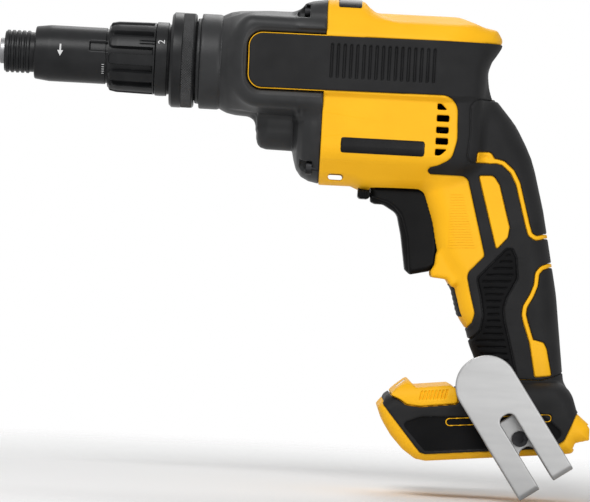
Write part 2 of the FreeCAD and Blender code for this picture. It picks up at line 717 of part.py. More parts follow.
button_side = under([
    (-65.4, -2.5, 0.8), (-58.8, -2.5, 0.8), (-58.8, -5.8, 1.2), (-60.2, -6.8, 0.8), (-65.4, -6.8, 1.6),
])
neck_front = shaft_back - 63.4
neck_back = shaft_back - 60.2
neck_half = 4.5
slot_half = neck_half + button_travel + slack
button_neck = block(neck_front, neck_back, -neck_half, neck_half, body_low - 3.2, body_low + 1.6)
save("reversing_button", slab(button_side, -button_half, button_half).fuse(button_neck))
button_slot = block(
    neck_front - slack, neck_back + slack, -slot_half, slot_half, body_low - 4.2, body_low + 1.9,
)
block_half = slot_half + 4.7
button_block = slab(under([
    (-67, 3.8, 0), (-55, 3.8, 0), (-55, -1.4, 1), (-58, -2.2, 1), (-66, -2.2, 1), (-67, -0.2, 1),
]), -block_half, block_half)

# Lamp cap across the front of the foot, its lens and board
lamp_side = [
    (-42, 37, 1), (-39.2, 39.5, 0.5), (-32, 44.6, 1.2), (-28.4, 40.4, 1),
    (-10, 40.7, 1.5), (-6.9, 38.7, 2), (-6.4, 30.8, 1.5),
    (-26.7, 30.3, 2), (-33.7, 31.7, 2), (-37.2, 34.6, 1),
]
lamp_section = [(-foot_half, -30, 0), (foot_half, -30, 0), (foot_half, 44.6, 12), (-foot_half, 44.6, 12)]
lamp_shape = in_foot(slab(lamp_side, -60, 60).common(beam(lamp_section, -70, 90)))


def on_slope(low, high, along0, along1, half):
    """Plate on the lamp cap's sloping front face, between two depths and two stations up the slope."""
    up = V(0.816, 0, 0.578)
    out = V(-0.578, 0, 0.816)
    start = V(-39.2, 0, 39.5)
    corners = []
    for a, d in ((along0, low), (along1, low), (along1, high), (along0, high)):
        corners.append(start + up * a + out * d + V(0, -half, 0))
    return in_foot(Part.Face(Part.makePolygon(corners + corners[:1])).extrude(V(0, 2 * half, 0)))


lens = on_slope(-1.6, 0.2, 1.2, 7.2, 9.0)
lamp_board = on_slope(-3.0, -1.6, 1.2, 7.2, 8.0)
lamp_void = on_slope(-5.0, -1.6, 1.2, 7.2, 8.0)
save("lamp_cap", lamp_shape.cut([lens, lamp_void]))
save("lamp_lens", lens)
save("lamp_board", lamp_board)

# Power: terminal block under the deck, control module over the motor, and the leads between them
save("terminal_block", foot_block(-12, 14, -14, 14, deck_low - 6.5, deck_low))
blades = [foot_block(14, 27, y - 0.4, y + 0.4, deck_low - 5, deck_low - 1) for y in (-10.5, -3.5, 3.5, 10.5)]
save("terminal_blades", blades)
module_low = motor_z + stator_r + 3.5
module_back = rear_seat - 5
module = block(stator_x + 10, module_back, -16, 16, module_low, roof - 11.5)
save("control_module", module)
lead_start = foot_point(4, 0, deck_low)
lead_rise = foot_point(4, 0, deck_low + 16)
battery_route = [(lead_start.x, lead_start.z), (lead_rise.x, lead_rise.z)]
for x, z in ((18, -144), (23, -112), (25, -80), (20, -52), (8, -27), (-3, -1)):
    battery_route.append((shaft_back + x, z))
battery_route += [(module_back + 7, 4), (module_back, 4)]
battery_leads = [lead([(x, y, z) for x, z in battery_route], 1.4) for y in (-5.0, 5.0)]
tunnels = [lead([(x, y, z) for x, z in battery_route], 2.0) for y in (-5.0, 5.0)]
save("battery_leads", battery_leads)
lead_x = board_x + 5.0
motor_leads = [
    lead([(lead_x, y, module_low), (lead_x, y, motor_z + 14), (board_x + 1.5, y, motor_z + 14)], 0.9)
    for y in (-5.0, 0.0, 5.0)
]
save("motor_leads", motor_leads)

# Housing halves: walls, ribs that hold the motor, plate, module and switch, and bosses for the screws
stator_room = tube(stator_x - 10, stator_end + 30, stator_r, 0, 0, motor_z)


def cross_rib(x0, x1, z0=-80, z1=60):
    return body_room.common(block(x0, x1, -60, 60, z0, z1))


ribs = [
    cross_rib(plate_front + 2, plate_front + 5).cut(plate_shape),
    cross_rib(stator_x + 2, stator_x + 5, -80, module_low + 2),
    cross_rib(stator_end - 6, stator_end - 3),
    cross_rib(fan_x + 2, fan_x + 5, module_low + 1, 60),
    body_room.fuse(handle_room).common(block(rear_seat, rear_seat + 6, -26, 26, -60, motor_z + 16)),
    handle_room.common(block(shaft_back - 37, shaft_back + 58, -30, 30, stem_z + 8, stem_z + 11)),
    handle_room.common(block(shaft_back - 37, shaft_back + 58, -30, 30, stem_z - 12, stem_z - 9)),
]
keel = solid_form.common(block(joint_x + 1.8, joint_x + 15.8, -20, 20, body_low - 7.2, body_low + 7.8))
screw_marks = [
    (stator_x + 1.5, roof - 11.5), (rear_seat + 5, roof - 13.5),
    (shaft_back - 15, body_low - 0.2), (shaft_back + 15, -72),
    (shaft_back, -118), (shaft_back + 35, -137),
]
bosses = [across(x, z, 4.5, -60, 60) for x, z in screw_marks]
bosses = [b.common(solid_form) for b in bosses]
tongue_x = bearing_x + 5.3
tongue_side = [
    (tongue_x, 18.4, 8), (tongue_x + 0.5, -14.0, 8), (joint_x + 1, -13.2, 0), (joint_x + 1, 18.4, 0),
]
tongue = slab(tongue_side, -body_half, body_half).common(block(tongue_x - 5, joint_x, -80, 80, -40, 40))
tongue = tongue.cut(barrel).cut(block(tongue_x - 5, joint_x + 5, -gear_room + 10, gear_room - 10, -40, 40))

shell = solid_form.common(back_half).cut([body_room, handle_room, foot_room] + channel)
shell = shell.fuse(ribs + bosses + [b.common(solid_form) for b in case_bosses] + [keel, button_block, tongue])
seat_in_body = body_half - 11.5
seat_in_handle = handle_half - 6.5
housing_screws = []
screw_cuts = []
for x, z in screw_marks:
    seat = seat_in_body if z > -60 else seat_in_handle
    head = across(x, z, 3.6, seat, seat + 2.6).cut(across(x, z, 1.9, seat + 1.2, seat + 3))
    housing_screws.append(head.fuse(across(x, z, 1.9, -12, seat)))
    screw_cuts.append(across(x, z, 1.9, -12, seat))
    screw_cuts.append(across(x, z, 4.0, seat, 60))
save("housing_screws", housing_screws)

hook_top = foot_point(9.9, 0, 37.5)
turn = math.radians(hook_angle)
short_plate_s = 20.5
hook_screw_s = short_plate_s + 10.5
hook_x = hook_top.x + hook_screw_s * math.cos(turn)
hook_z = hook_top.z - hook_screw_s * math.sin(turn)
boot_face = foot_half + skin
hook_end_y = -channel_half - 0.6
hook_holes = [
    across(hook_x, hook_z, hook_screw_r, -60, hook_end_y),
    across(hook_x, hook_z, hook_screw_r, channel_half - 1, 60),
]


def round_slot(x0, x1, z0, z1):
    """Slot through both sides of the body, with rounded corners."""
    return slab([(x0, z0, 1.4), (x1, z0, 1.4), (x1, z1, 1.4), (x0, z1, 1.4)], -60, 60)


vents = [
    round_slot(fan_x + 1, fan_x + 7.6, motor_z + row - 1.45, motor_z + row + 1.45)
    for row in (16.8, 10.4, 4.2, -2.0, -8.0)
]
keel_slot = round_slot(joint_x + 4.8, joint_x + 12.8, body_low + 2.6, body_low + 5.6)
shell = shell.cut([
    trigger_room, switch_box, button_slot, stator_room, module, lamp_shape, keel_slot,
    tube(joint_x - 1, plate_front, gear_room),
    tube(rear_seat, rear_seat + 6, motor_bearing_r, 0, 0, motor_z),
    tube(rear_seat - 1, shaft_back + 2, shaft_r + 1.5, 0, 0, motor_z),
    tube(fan_x - 3, fan_x + 11, fan_r + 2, 0, 0, motor_z),
])
shell = shell.cut(vents + tunnels + screw_cuts + hook_holes + screw_holes)
shell = shell.cut(in_foot(slab(lamp_side, -60, 60).common(block(-80, 90, -80, 80, 36, 60))))
left_space = block(case_x, shaft_back + 100, -80, 0, -260, 80)
right_space = block(case_x, shaft_back + 100, 0, 80, -260, 80)
save("housing_left", shell.common(left_space))
save("housing_right", shell.common(right_space))

# Rubber skins over the housing: side bands, rear grips and foot boots
skins = grown_form.common(back_half).cut(solid_form)
band_edge = 0.9
tongue_rubber = slab([
    (tongue_x + band_edge, 18.4 - band_edge, 7.2), (tongue_x + 0.5 + band_edge, -14 + band_edge, 7.2),
    (joint_x, -13.2 + band_edge, 0), (joint_x, 18.4 - band_edge, 0),
], -body_half - skin, body_half + skin)
tongue_rubber = tongue_rubber.cut(block(tongue_x - 5, joint_x + 5, -body_half, body_half, -60, 60))
band_side = [
    (joint_x - 2, 18.4 - band_edge, 0), (joint_x - 2, -13.2 + band_edge, 0),
    (shaft_back + 20, -13.2 + band_edge, 0), (shaft_back + 20, 18.4 - band_edge, 0),
]
grip_side = behind([
    (-5.6, -14, 2), (34, -13.5, 0), (83, -150, 0), (68, -166, 0),
    (4, -163, 1), (1, -146, 3), (4.5, -132, 6), (2.3, -112, 5),
    (5.5, -93, 6), (-2.5, -62, 4), (-5.6, -50, 4),
])
boot_side = [
    (0.8, 37.5, 1), (3.2, 42.1, 1), (68.6, 32.5, 0), (59.6, 22.5, 1),
    (50.1, 8.5, 3), (42.2, 4.6, 4), (-25.2, 4.7, 2),
    (-28.1, 5.8, 2), (-46.4, 32.5, 1), (-44.6, 36.6, 1), (-38.2, 33.7, 1),
    (-34.1, 31, 2), (-26.8, 29.5, 2), (-5.8, 29.9, 1.5),
]
zones = {
    "band": slab(band_side, -80, 80), "grip": slab(grip_side, -80, 80), "boot": in_foot(slab(boot_side, -80, 80)),
}
rubber_cuts = screw_cuts + [
    across(hook_x, hook_z, hook_screw_r + 1.0, 0, 60), across(hook_x, hook_z, hook_screw_r, -60, 0),
]
for name, zone in zones.items():
    rubber = skins.common(zone)
    if name == "band":
        rubber = rubber.fuse(tongue_rubber)
    rubber = rubber.cut(rubber_cuts + [lamp_shape])
    save(name + "_left", rubber.common(left_space))
    save(name + "_right", rubber.common(right_space))

save("badge", block(joint_x + 5.8, joint_x + 18.3, -8, 8, body_top, body_top + 0.6))

# Belt hook: steel strip bent into a square hook, slotted from its bend, and held by one screw
strip_low = -boot_face - hook_gap - 2 * hook_strip
hook_profile = [
    (short_plate_s, -boot_face, 0), (hook_length, -boot_face, 3),
    (hook_length, strip_low, 3), (-hook_width / 2, strip_low, 0),
    (-hook_width / 2, strip_low + hook_strip, 0), (hook_length - hook_strip, strip_low + hook_strip, 1),
    (hook_length - hook_strip, -boot_face - hook_strip, 1), (short_plate_s, -boot_face - hook_strip, 0),
]
strip_face = Part.Face(corner_path(hook_profile, lambda q: V(q.x, q.y, -hook_width / 2)))
strip = strip_face.extrude(V(0, 0, hook_width))
middle_y = -boot_face - hook_strip - hook_gap / 2
half_width = hook_width / 2
past_end = hook_length + 20


def strip_zone(start, half, radius, low, high):
    """Outline along the strip, rounded at its start and open past the bend."""
    corners = [(start, -half, radius), (past_end, -half, 0), (past_end, half, 0), (start, half, radius)]
    return slab(corners, low, high)


round_top = strip_zone(-half_width, half_width, half_width - 0.01, strip_low - 5, middle_y)
short_plate = strip_zone(short_plate_s, half_width, 5, middle_y, 0)
strip = strip.common(round_top.fuse(short_plate))
slot_round = hook_slot / 2 - 0.8
long_slot = strip_zone(short_plate_s - 2.5, hook_slot / 2, slot_round, strip_low - 5, middle_y)
short_slot = strip_zone(hook_screw_s + 8, hook_slot / 2, slot_round, middle_y, 0)
strip = strip.cut([long_slot, short_slot])
strip.rotate(V(0, 0, 0), V(0, 1, 0), hook_angle)
strip.translate(hook_top)
belt_hook = strip.cut(across(hook_x, hook_z, hook_screw_r, -80, 0))
save("belt_hook", belt_hook)
plate_face = -boot_face - hook_strip
head_r = hook_screw_r + 1.7
hook_screw = across(hook_x, hook_z, head_r, plate_face - 2.6, plate_face)
hook_screw = hook_screw.cut(across(hook_x, hook_z, head_r - 2.2, plate_face - 3, plate_face - 1.2))
save("hook_screw", hook_screw.fuse(across(hook_x, hook_z, hook_screw_r, plate_face, hook_end_y)))
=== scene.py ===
import functools
import json
import math

import bmesh
import bpy
import numpy as np
import openvdb
from mathutils import Matrix, Vector


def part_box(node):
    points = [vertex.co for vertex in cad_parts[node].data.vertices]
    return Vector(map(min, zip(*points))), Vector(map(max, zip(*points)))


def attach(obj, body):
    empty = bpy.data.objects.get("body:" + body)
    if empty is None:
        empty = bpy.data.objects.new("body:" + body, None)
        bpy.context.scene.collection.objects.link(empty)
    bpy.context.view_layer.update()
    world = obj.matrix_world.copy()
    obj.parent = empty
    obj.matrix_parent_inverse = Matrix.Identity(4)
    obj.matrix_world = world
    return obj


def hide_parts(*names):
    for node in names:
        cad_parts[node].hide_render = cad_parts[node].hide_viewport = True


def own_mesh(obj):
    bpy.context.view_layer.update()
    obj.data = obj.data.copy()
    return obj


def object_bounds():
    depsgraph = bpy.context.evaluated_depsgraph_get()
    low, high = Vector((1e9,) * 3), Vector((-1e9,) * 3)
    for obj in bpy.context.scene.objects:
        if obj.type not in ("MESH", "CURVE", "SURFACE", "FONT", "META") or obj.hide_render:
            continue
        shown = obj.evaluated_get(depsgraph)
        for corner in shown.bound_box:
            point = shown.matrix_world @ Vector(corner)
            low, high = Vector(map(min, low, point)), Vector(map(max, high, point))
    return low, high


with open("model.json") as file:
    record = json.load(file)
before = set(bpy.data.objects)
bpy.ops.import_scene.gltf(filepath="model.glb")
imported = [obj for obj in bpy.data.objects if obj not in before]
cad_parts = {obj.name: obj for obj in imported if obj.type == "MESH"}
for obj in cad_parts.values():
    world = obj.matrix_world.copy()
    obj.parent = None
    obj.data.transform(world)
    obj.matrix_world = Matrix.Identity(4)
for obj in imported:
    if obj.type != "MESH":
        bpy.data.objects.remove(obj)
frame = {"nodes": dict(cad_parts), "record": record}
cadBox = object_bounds()
coarse = 1.0

# Shapes are written in millimetres in the CAD frame and turned into metres when a mesh is made.
# Node trees work in metres.
perMetre = 1000
mm = 0.001


def cadSpan(node, axis):
    low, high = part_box(node)
    return low[axis] * perMetre, high[axis] * perMetre


jointX = cadSpan("gear_case", 0)[1]
caseHalf = cadSpan("gear_case", 1)[1]
shaftBack = cadSpan("motor_shaft", 0)[1]
motorZ = sum(cadSpan("motor_shaft", 2)) / 2
bootFace = cadSpan("boot_right", 1)[1]
lockFront, lockBack = cadSpan("lock_ring", 0)
lockR = cadSpan("lock_ring", 2)[1]
collarFront, collarBack = cadSpan("depth_collar", 0)
collarR = cadSpan("depth_collar", 2)[1]
ringR = cadSpan("index_sleeve", 2)[1]
noseR = cadSpan("nosepiece", 2)[1]
print("frame read: joint at", round(jointX, 1), "shaft end at", round(shaftBack, 1))


# Field tools: a shape is a signed distance on a block of samples, negative inside
rounding = dict(straight=1.56, share=0.49, arcDegrees=7)
far = 99.0
bandSteps = 3


# Turns corners, each with its radius, into points along the rounded outline
def roundPath(corners, closed=True):
    path = []
    count = len(corners)
    for i, (a, b, radius) in enumerate(corners):
        here = np.array([a, b], float)
        before = np.array(corners[i - 1][:2], float) - here
        after = np.array(corners[(i + 1) % count][:2], float) - here
        ends = not closed and i in (0, count - 1)
        u = before / np.linalg.norm(before)
        w = after / np.linalg.norm(after)
        half = math.acos(float(np.clip(u @ w, -1, 1))) / 2
        if radius <= 0 or ends or half > rounding["straight"]:
            path.append(here)
            continue
        room = rounding["share"] * min(np.linalg.norm(before), np.linalg.norm(after))
        reach = min(radius / math.tan(half), room)
        radius = reach * math.tan(half)
        middle = here + (u + w) / np.linalg.norm(u + w) * radius / math.sin(half)
        arm = here + u * reach - middle
        sweep = math.pi - 2 * half
        turn = -1.0 if u[0] * w[1] - u[1] * w[0] > 0 else 1.0
        steps = max(2, math.ceil(math.degrees(sweep) / rounding["arcDegrees"]))
        for k in range(steps + 1):
            t = turn * sweep * k / steps
            c, s = math.cos(t), math.sin(t)
            path.append(middle + np.array([arm[0] * c - arm[1] * s, arm[0] * s + arm[1] * c]))
    return np.array(path)


def outlineField(path, a, b, closed=True):
    first = np.asarray(path, np.float32)
    last = np.roll(first, -1, axis=0)
    if not closed:
        first, last = first[:-1], last[:-1]
    a, b = a[:, None], b[None, :]
    best = np.full((a.shape[0], b.shape[1]), 1e9, np.float32)
    inside = np.zeros(best.shape, bool)
    for (pa, pb), (qa, qb) in zip(first, last):
        da, db = qa - pa, qb - pb
        squared = da * da + db * db
        if squared < 1e-9:
            continue
        t = np.clip(((a - pa) * da + (b - pb) * db) / squared, 0, 1)
        np.minimum(best, (a - pa - t * da) ** 2 + (b - pb - t * db) ** 2, out=best)
        if closed and pb != qb:
            level = (b >= min(pb, qb)) & (b < max(pb, qb))
            inside ^= level & (a < pa + (b - pb) * (da / db))
    distance = np.sqrt(best)
    return np.where(inside, -distance, distance) if closed else distance


def roundMax(a, b, r):
    return np.minimum(np.maximum(a, b), -r) + np.hypot(np.maximum(a + r, 0), np.maximum(b + r, 0))


def roundMin(a, b, r):
    return np.maximum(np.minimum(a, b), r) - np.hypot(np.maximum(r - a, 0), np.maximum(r - b, 0))


def overlap(*fields):
    return functools.reduce(np.maximum, fields)


def union(*fields):
    return functools.reduce(np.minimum, fields)


def span(value, low, high):
    return np.maximum(low - value, value - high)


def ease(value, width):
    return np.clip(0.5 - value / width, 0, 1)


def groove(distance, half, depth, soft=0.4):
    return depth * ease(distance - half, soft)


def sampleLines(low, high, step):
    return [np.arange(l, h + step, step, dtype=np.float32) for l, h in zip(low, high)]


def sideField(corners, x, z, closed=True):
    return outlineField(roundPath(corners, closed), x, z, closed)[:, None, :]


def crossField(corners, y, z):
    return outlineField(roundPath(corners), np.abs(y), z)[None, :, :]


def ringField(x, z, spot):
    return np.hypot(x[:, None] - spot[0], z[None, :] - spot[1])[:, None, :]


def plainMesh(name, points, faces):
    mesh = bpy.data.meshes.new(name)
    corners = faces.shape[1]
    mesh.vertices.add(len(points))
    mesh.vertices.foreach_set("co", np.asarray(points, np.float32).ravel())
    mesh.loops.add(faces.size)
    mesh.loops.foreach_set("vertex_index", faces.astype(np.int32).ravel())
    mesh.polygons.add(len(faces))
    mesh.polygons.foreach_set("loop_start", np.arange(0, faces.size, corners, dtype=np.int32))
    mesh.update(calc_edges=True)
    mesh.validate()
    return mesh


def addPiece(name, mesh, material):
    piece = bpy.data.objects.new(name, mesh)
    bpy.context.scene.collection.objects.link(piece)
    mesh.materials.clear()
    mesh.materials.append(material)
    mesh.shade_smooth()
    return piece


def applied(piece):
    graph = bpy.context.evaluated_depsgraph_get()
    mesh = bpy.data.meshes.new_from_object(piece.evaluated_get(graph))
    piece.modifiers.clear()
    piece.data = mesh
    return piece


def outward(points, quads):
    a, b, c, d = (points[quads[:, k]] for k in range(4))
    volume = np.einsum("ij,ij->", a + b + c + d, np.cross(c - a, d - b))
    return quads[:, ::-1] if volume < 0 else quads


def fieldPiece(name, field, lines, step, material, mirror=False, most=150000):
    reach = bandSteps * step
    block = np.pad(np.clip(field, -reach, reach).astype(np.float32), 1, constant_values=reach)
    grid = openvdb.FloatGrid(reach)
    grid.copyFromArray(block)
    points, quads = grid.convertToQuads()
    low = np.array([line[0] for line in lines]) - step
    points = (points * step + low) * mm
    if mirror:
        points[:, 1] *= -1
    piece = addPiece(name, plainMesh(name, points, outward(points, quads)), material)
    if 2 * len(quads) > most:
        thin = piece.modifiers.new("thin", "DECIMATE")
        thin.ratio = most / (2 * len(quads))
        applied(piece)
        piece.data.shade_smooth()
    print("  ", name, len(piece.data.polygons), "faces")
    return piece


# Turned pieces: a closed outline in X and radius, spun round the spindle. Angle 0 faces the tool's left, 90 is up.
def denser(path, longest):
    dense = []
    for here, after in zip(path, np.roll(path, -1, axis=0)):
        count = max(1, math.ceil(np.linalg.norm(after - here) / longest))
        dense += [here + (after - here) * k / count for k in range(count)]
    return np.array(dense)


def onRing(x, r, turn):
    return np.stack([x, -r * np.cos(turn), r * np.sin(turn)], -1)


def turnedPiece(name, profile, material, segments=144, longest=None, change=None, sharp=40):
    path = roundPath(profile)
    if longest:
        path = denser(path, longest * coarse)
    turn = np.arange(segments) * 2 * math.pi / segments
    x, r, t = path[:, :1] + 0 * turn, path[:, 1:] + 0 * turn, 0 * path[:, :1] + turn
    if change:
        r = change(x, r, t)
    points = onRing(x, r, t).reshape(-1, 3) * mm
    i, j = np.meshgrid(np.arange(len(path)), np.arange(segments), indexing="ij")
    after, beside = (i + 1) % len(path), (j + 1) % segments
    corners = [(i, j), (after, j), (after, beside), (i, beside)]
    quads = np.stack([a * segments + b for a, b in corners], -1).reshape(-1, 4)
    piece = addPiece(name, plainMesh(name, points, outward(points, quads)), material)
    piece.data.set_sharp_from_angle(angle=math.radians(sharp))
    print("  ", name, len(quads), "faces")
    return piece


# Node trees for what repeats
def newTree(name, inputs):
    tree = bpy.data.node_groups.new(name, "GeometryNodeTree")
    for label, kind in inputs:
        tree.interface.new_socket(label, in_out="INPUT", socket_type="NodeSocket" + kind)
    tree.interface.new_socket("Geometry", in_out="OUTPUT", socket_type="NodeSocketGeometry")
    source = tree.nodes.new("NodeGroupInput")
    return tree, source.outputs


def floats(*labels):
    return [(label, "Float") for label in labels]


def fed(tree, kind, values, **settings):
    node = tree.nodes.new(kind)
    for key, value in settings.items():
        setattr(node, key, value)
    for key, value in values.items():
        if isinstance(value, bpy.types.NodeSocket):
            tree.links.new(value, node.inputs[key])
        else:
            node.inputs[key].default_value = value
    return node.outputs


def summed(tree, operation, first, second=0.0):
    return fed(tree, "ShaderNodeMath", {0: first, 1: second}, operation=operation)[0]


def endTree(tree, geometry, material):
    whole = fed(tree, "GeometryNodeRealizeInstances", {"Geometry": geometry})[0]
    dressed = fed(tree, "GeometryNodeSetMaterial", {"Geometry": whole, "Material": material})[0]
    tree.links.new(dressed, tree.nodes.new("NodeGroupOutput").inputs[0])


def grownPiece(name, tree, values):
    piece = bpy.data.objects.new(name, bpy.data.meshes.new(name))
    bpy.context.scene.collection.objects.link(piece)
    grow = piece.modifiers.new("grow", "NODES")
    grow.node_group = tree
    for item in tree.interface.items_tree:
        if item.in_out == "INPUT":
            grow[item.identifier] = values[item.name]
    applied(piece)
    print("  ", name, len(piece.data.polygons), "faces")
    return piece


# Finishes
def newFinish(name):
    material = bpy.data.materials.new(name)
    material.use_nodes = True
    nodes = material.node_tree.nodes
    return material, nodes, material.node_tree.links, nodes["Principled BSDF"]


def noiseNode(nodes, links, scale, detail, stretch):
    coords = nodes.new("ShaderNodeTexCoord")
    noise = nodes.new("ShaderNodeTexNoise")
    noise.inputs["Scale"].default_value = scale
    noise.inputs["Detail"].default_value = detail
    if stretch:
        turn = nodes.new("ShaderNodeMapping")
        turn.inputs["Scale"].default_value = stretch
        links.new(coords.outputs["Object"], turn.inputs["Vector"])
        links.new(turn.outputs["Vector"], noise.inputs["Vector"])
    else:
        links.new(coords.outputs["Object"], noise.inputs["Vector"])
    return noise


patches = dict(detail=2.0, ramp=(0.35, 0.65))
grain = dict(detail=3.0)


def mouldedFinish(name, s):
    material, nodes, links, shader = newFinish(name)
    broad = noiseNode(nodes, links, s["patchScale"], patches["detail"], s.get("stretch"))
    ramp = nodes.new("ShaderNodeValToRGB")
    for element, position, colour in zip(ramp.color_ramp.elements, patches["ramp"], (s["dark"], s["light"])):
        element.position = position
        element.color = (*colour, 1)
    links.new(broad.outputs["Fac"], ramp.inputs["Fac"])
    links.new(ramp.outputs["Color"], shader.inputs["Base Color"])
    fine = noiseNode(nodes, links, s["grainScale"], grain["detail"], s.get("stretch"))
    rough = nodes.new("ShaderNodeMapRange")
    rough.inputs["To Min"].default_value, rough.inputs["To Max"].default_value = s["rough"]
    links.new(fine.outputs["Fac"], rough.inputs["Value"])
    links.new(rough.outputs["Result"], shader.inputs["Roughness"])
    bump = nodes.new("ShaderNodeBump")
    bump.inputs["Strength"].default_value = s["bump"]
    bump.inputs["Distance"].default_value = s["grainDepth"]
    links.new(fine.outputs["Fac"], bump.inputs["Height"])
    links.new(bump.outputs["Normal"], shader.inputs["Normal"])
    shader.inputs["Metallic"].default_value = s.get("metal", 0.0)
    shader.inputs["Specular IOR Level"].default_value = s.get("specular", 0.5)
    shader.inputs["Transmission Weight"].default_value = s.get("clear", 0.0)
    return material


finishes = {
    "yellowShell": dict(
        dark=(0.86, 0.435, 0.009), light=(0.90, 0.465, 0.011), patchScale=40, grainScale=2600,
        rough=(0.42, 0.56), bump=0.15, grainDepth=0.00008, specular=0.16),
    "blackRubber": dict(
        dark=(0.0105, 0.0105, 0.011), light=(0.0150, 0.0150, 0.0156), patchScale=60, grainScale=2200,
        rough=(0.50, 0.68), bump=0.25, grainDepth=0.0001, specular=0.13),
    # A darker copy of the black rubber: painted shade for the ribbed waist of the grip and the dished boot panel
    "deepRubber": dict(
        dark=(0.0035, 0.0035, 0.0038), light=(0.0055, 0.0055, 0.006), patchScale=60, grainScale=2200,
        rough=(0.58, 0.75), bump=0.25, grainDepth=0.0001, specular=0.07),
    "caseCasting": dict(
        dark=(0.017, 0.0174, 0.0182), light=(0.025, 0.0254, 0.0264), patchScale=70, grainScale=1500,
        rough=(0.34, 0.50), bump=0.22, grainDepth=0.0001, specular=0.22),
    "noseMoulding": dict(
        dark=(0.009, 0.0093, 0.010), light=(0.0135, 0.0138, 0.0146), patchScale=90, grainScale=2400,
        rough=(0.26, 0.40), bump=0.12, grainDepth=0.00006, specular=0.16),
    "blackPlastic": dict(
        dark=(0.0032, 0.0032, 0.0034), light=(0.0050, 0.0050, 0.0053), patchScale=80, grainScale=2400,
        rough=(0.32, 0.46), bump=0.15, grainDepth=0.00008, specular=0.07),
    "labelFilm": dict(
        dark=(0.004, 0.004, 0.0043), light=(0.006, 0.006, 0.0064), patchScale=80, grainScale=2400,
        rough=(0.22, 0.32), bump=0.06, grainDepth=0.00005, specular=0.14),
    "darkSteel": dict(
        dark=(0.018, 0.018, 0.019), light=(0.035, 0.035, 0.037), patchScale=160, grainScale=1800,
        rough=(0.40, 0.55), bump=0.15, grainDepth=0.00005, metal=1.0),
    "steelTurned": dict(
        dark=(0.36, 0.36, 0.37), light=(0.48, 0.48, 0.49), patchScale=120, grainScale=1400,
        rough=(0.22, 0.36), bump=0.15, grainDepth=0.00004, metal=1.0, stretch=(8, 1, 1)),
    "tipSteel": dict(
        dark=(0.20, 0.20, 0.205), light=(0.29, 0.29, 0.295), patchScale=120, grainScale=1400,
        rough=(0.34, 0.46), bump=0.15, grainDepth=0.00004, metal=1.0, stretch=(8, 1, 1)),
    # Not steel: a lighter, glossier copy of the lock ring's dark moulding, painted sheen on the knurl
    "knurlSteel": dict(
        dark=(0.028, 0.0285, 0.0295), light=(0.045, 0.0455, 0.0465), patchScale=160, grainScale=1800,
        rough=(0.28, 0.40), bump=0.10, grainDepth=0.00004, specular=0.45),
    "hookSteel": dict(
        dark=(0.285, 0.285, 0.285), light=(0.312, 0.312, 0.312), patchScale=30, grainScale=900,
        rough=(0.38, 0.50), bump=0.07, grainDepth=0.00004, metal=1.0, stretch=(1, 1, 6)),
    "bronzeBush": dict(
        dark=(0.40, 0.25, 0.10), light=(0.52, 0.34, 0.15), patchScale=200, grainScale=2500,
        rough=(0.35, 0.5), bump=0.25, grainDepth=0.00005, metal=1.0),
    "coreSteel": dict(
        dark=(0.14, 0.14, 0.15), light=(0.24, 0.24, 0.25), patchScale=300, grainScale=600,
        rough=(0.35, 0.5), bump=0.3, grainDepth=0.0001, metal=1.0, stretch=(8, 1, 1)),
    "copperWire": dict(
        dark=(0.42, 0.13, 0.04), light=(0.62, 0.22, 0.07), patchScale=200, grainScale=900,
        rough=(0.25, 0.4), bump=0.4, grainDepth=0.0002, metal=1.0, stretch=(1, 6, 6)),
    "boardGreen": dict(
        dark=(0.010, 0.045, 0.018), light=(0.020, 0.075, 0.03), patchScale=300, grainScale=900,
        rough=(0.35, 0.5), bump=0.15, grainDepth=0.0001),
    "leadSkin": dict(
        dark=(0.22, 0.010, 0.010), light=(0.33, 0.016, 0.016), patchScale=120, grainScale=900,
        rough=(0.4, 0.55), bump=0.1, grainDepth=0.00008),
    "clearLens": dict(
        dark=(0.85, 0.88, 0.9), light=(0.95, 0.96, 0.97), patchScale=120, grainScale=900,
        rough=(0.08, 0.16), bump=0.1, grainDepth=0.00005, clear=0.6),
    "plateCast": dict(
        dark=(0.28, 0.28, 0.29), light=(0.42, 0.42, 0.43), patchScale=150, grainScale=1200,
        rough=(0.4, 0.55), bump=0.3, grainDepth=0.0001, metal=1.0),
    "whitePrint": dict(
        dark=(0.52, 0.52, 0.52), light=(0.62, 0.62, 0.62), patchScale=300, grainScale=2400,
        rough=(0.45, 0.6), bump=0.1, grainDepth=0.00004),
}
finish = {name: mouldedFinish(name, s) for name, s in finishes.items()}
slotFinish = {
    "yellow_shell": "yellowShell", "black_rubber": "blackRubber", "case_black": "caseCasting",
    "nose_black": "noseMoulding", "black_plastic": "blackPlastic", "steel": "steelTurned",
    "hook_steel": "hookSteel", "bronze": "bronzeBush", "core_steel": "coreSteel", "copper": "copperWire",
    "board": "boardGreen", "lead_skin": "leadSkin", "clear": "clearLens", "plate_cast": "plateCast",
}
darkNodes = ("gear_case_screws", "hook_screw", "housing_screws", "lock_clip", "collar_clip")
for subpart in frame["record"]["subparts"]:
    node = frame["nodes"][subpart["node"]]
    look = "darkSteel" if subpart["node"] in darkNodes else slotFinish[subpart["material_slot"]]
    node.data.materials.clear()
    node.data.materials.append(finish[look])
print("finishes made:", len(finish))


def place(piece, slot, *nodes, body="tool"):
    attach(piece, body)
    if nodes:
        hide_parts(*nodes)
    return piece


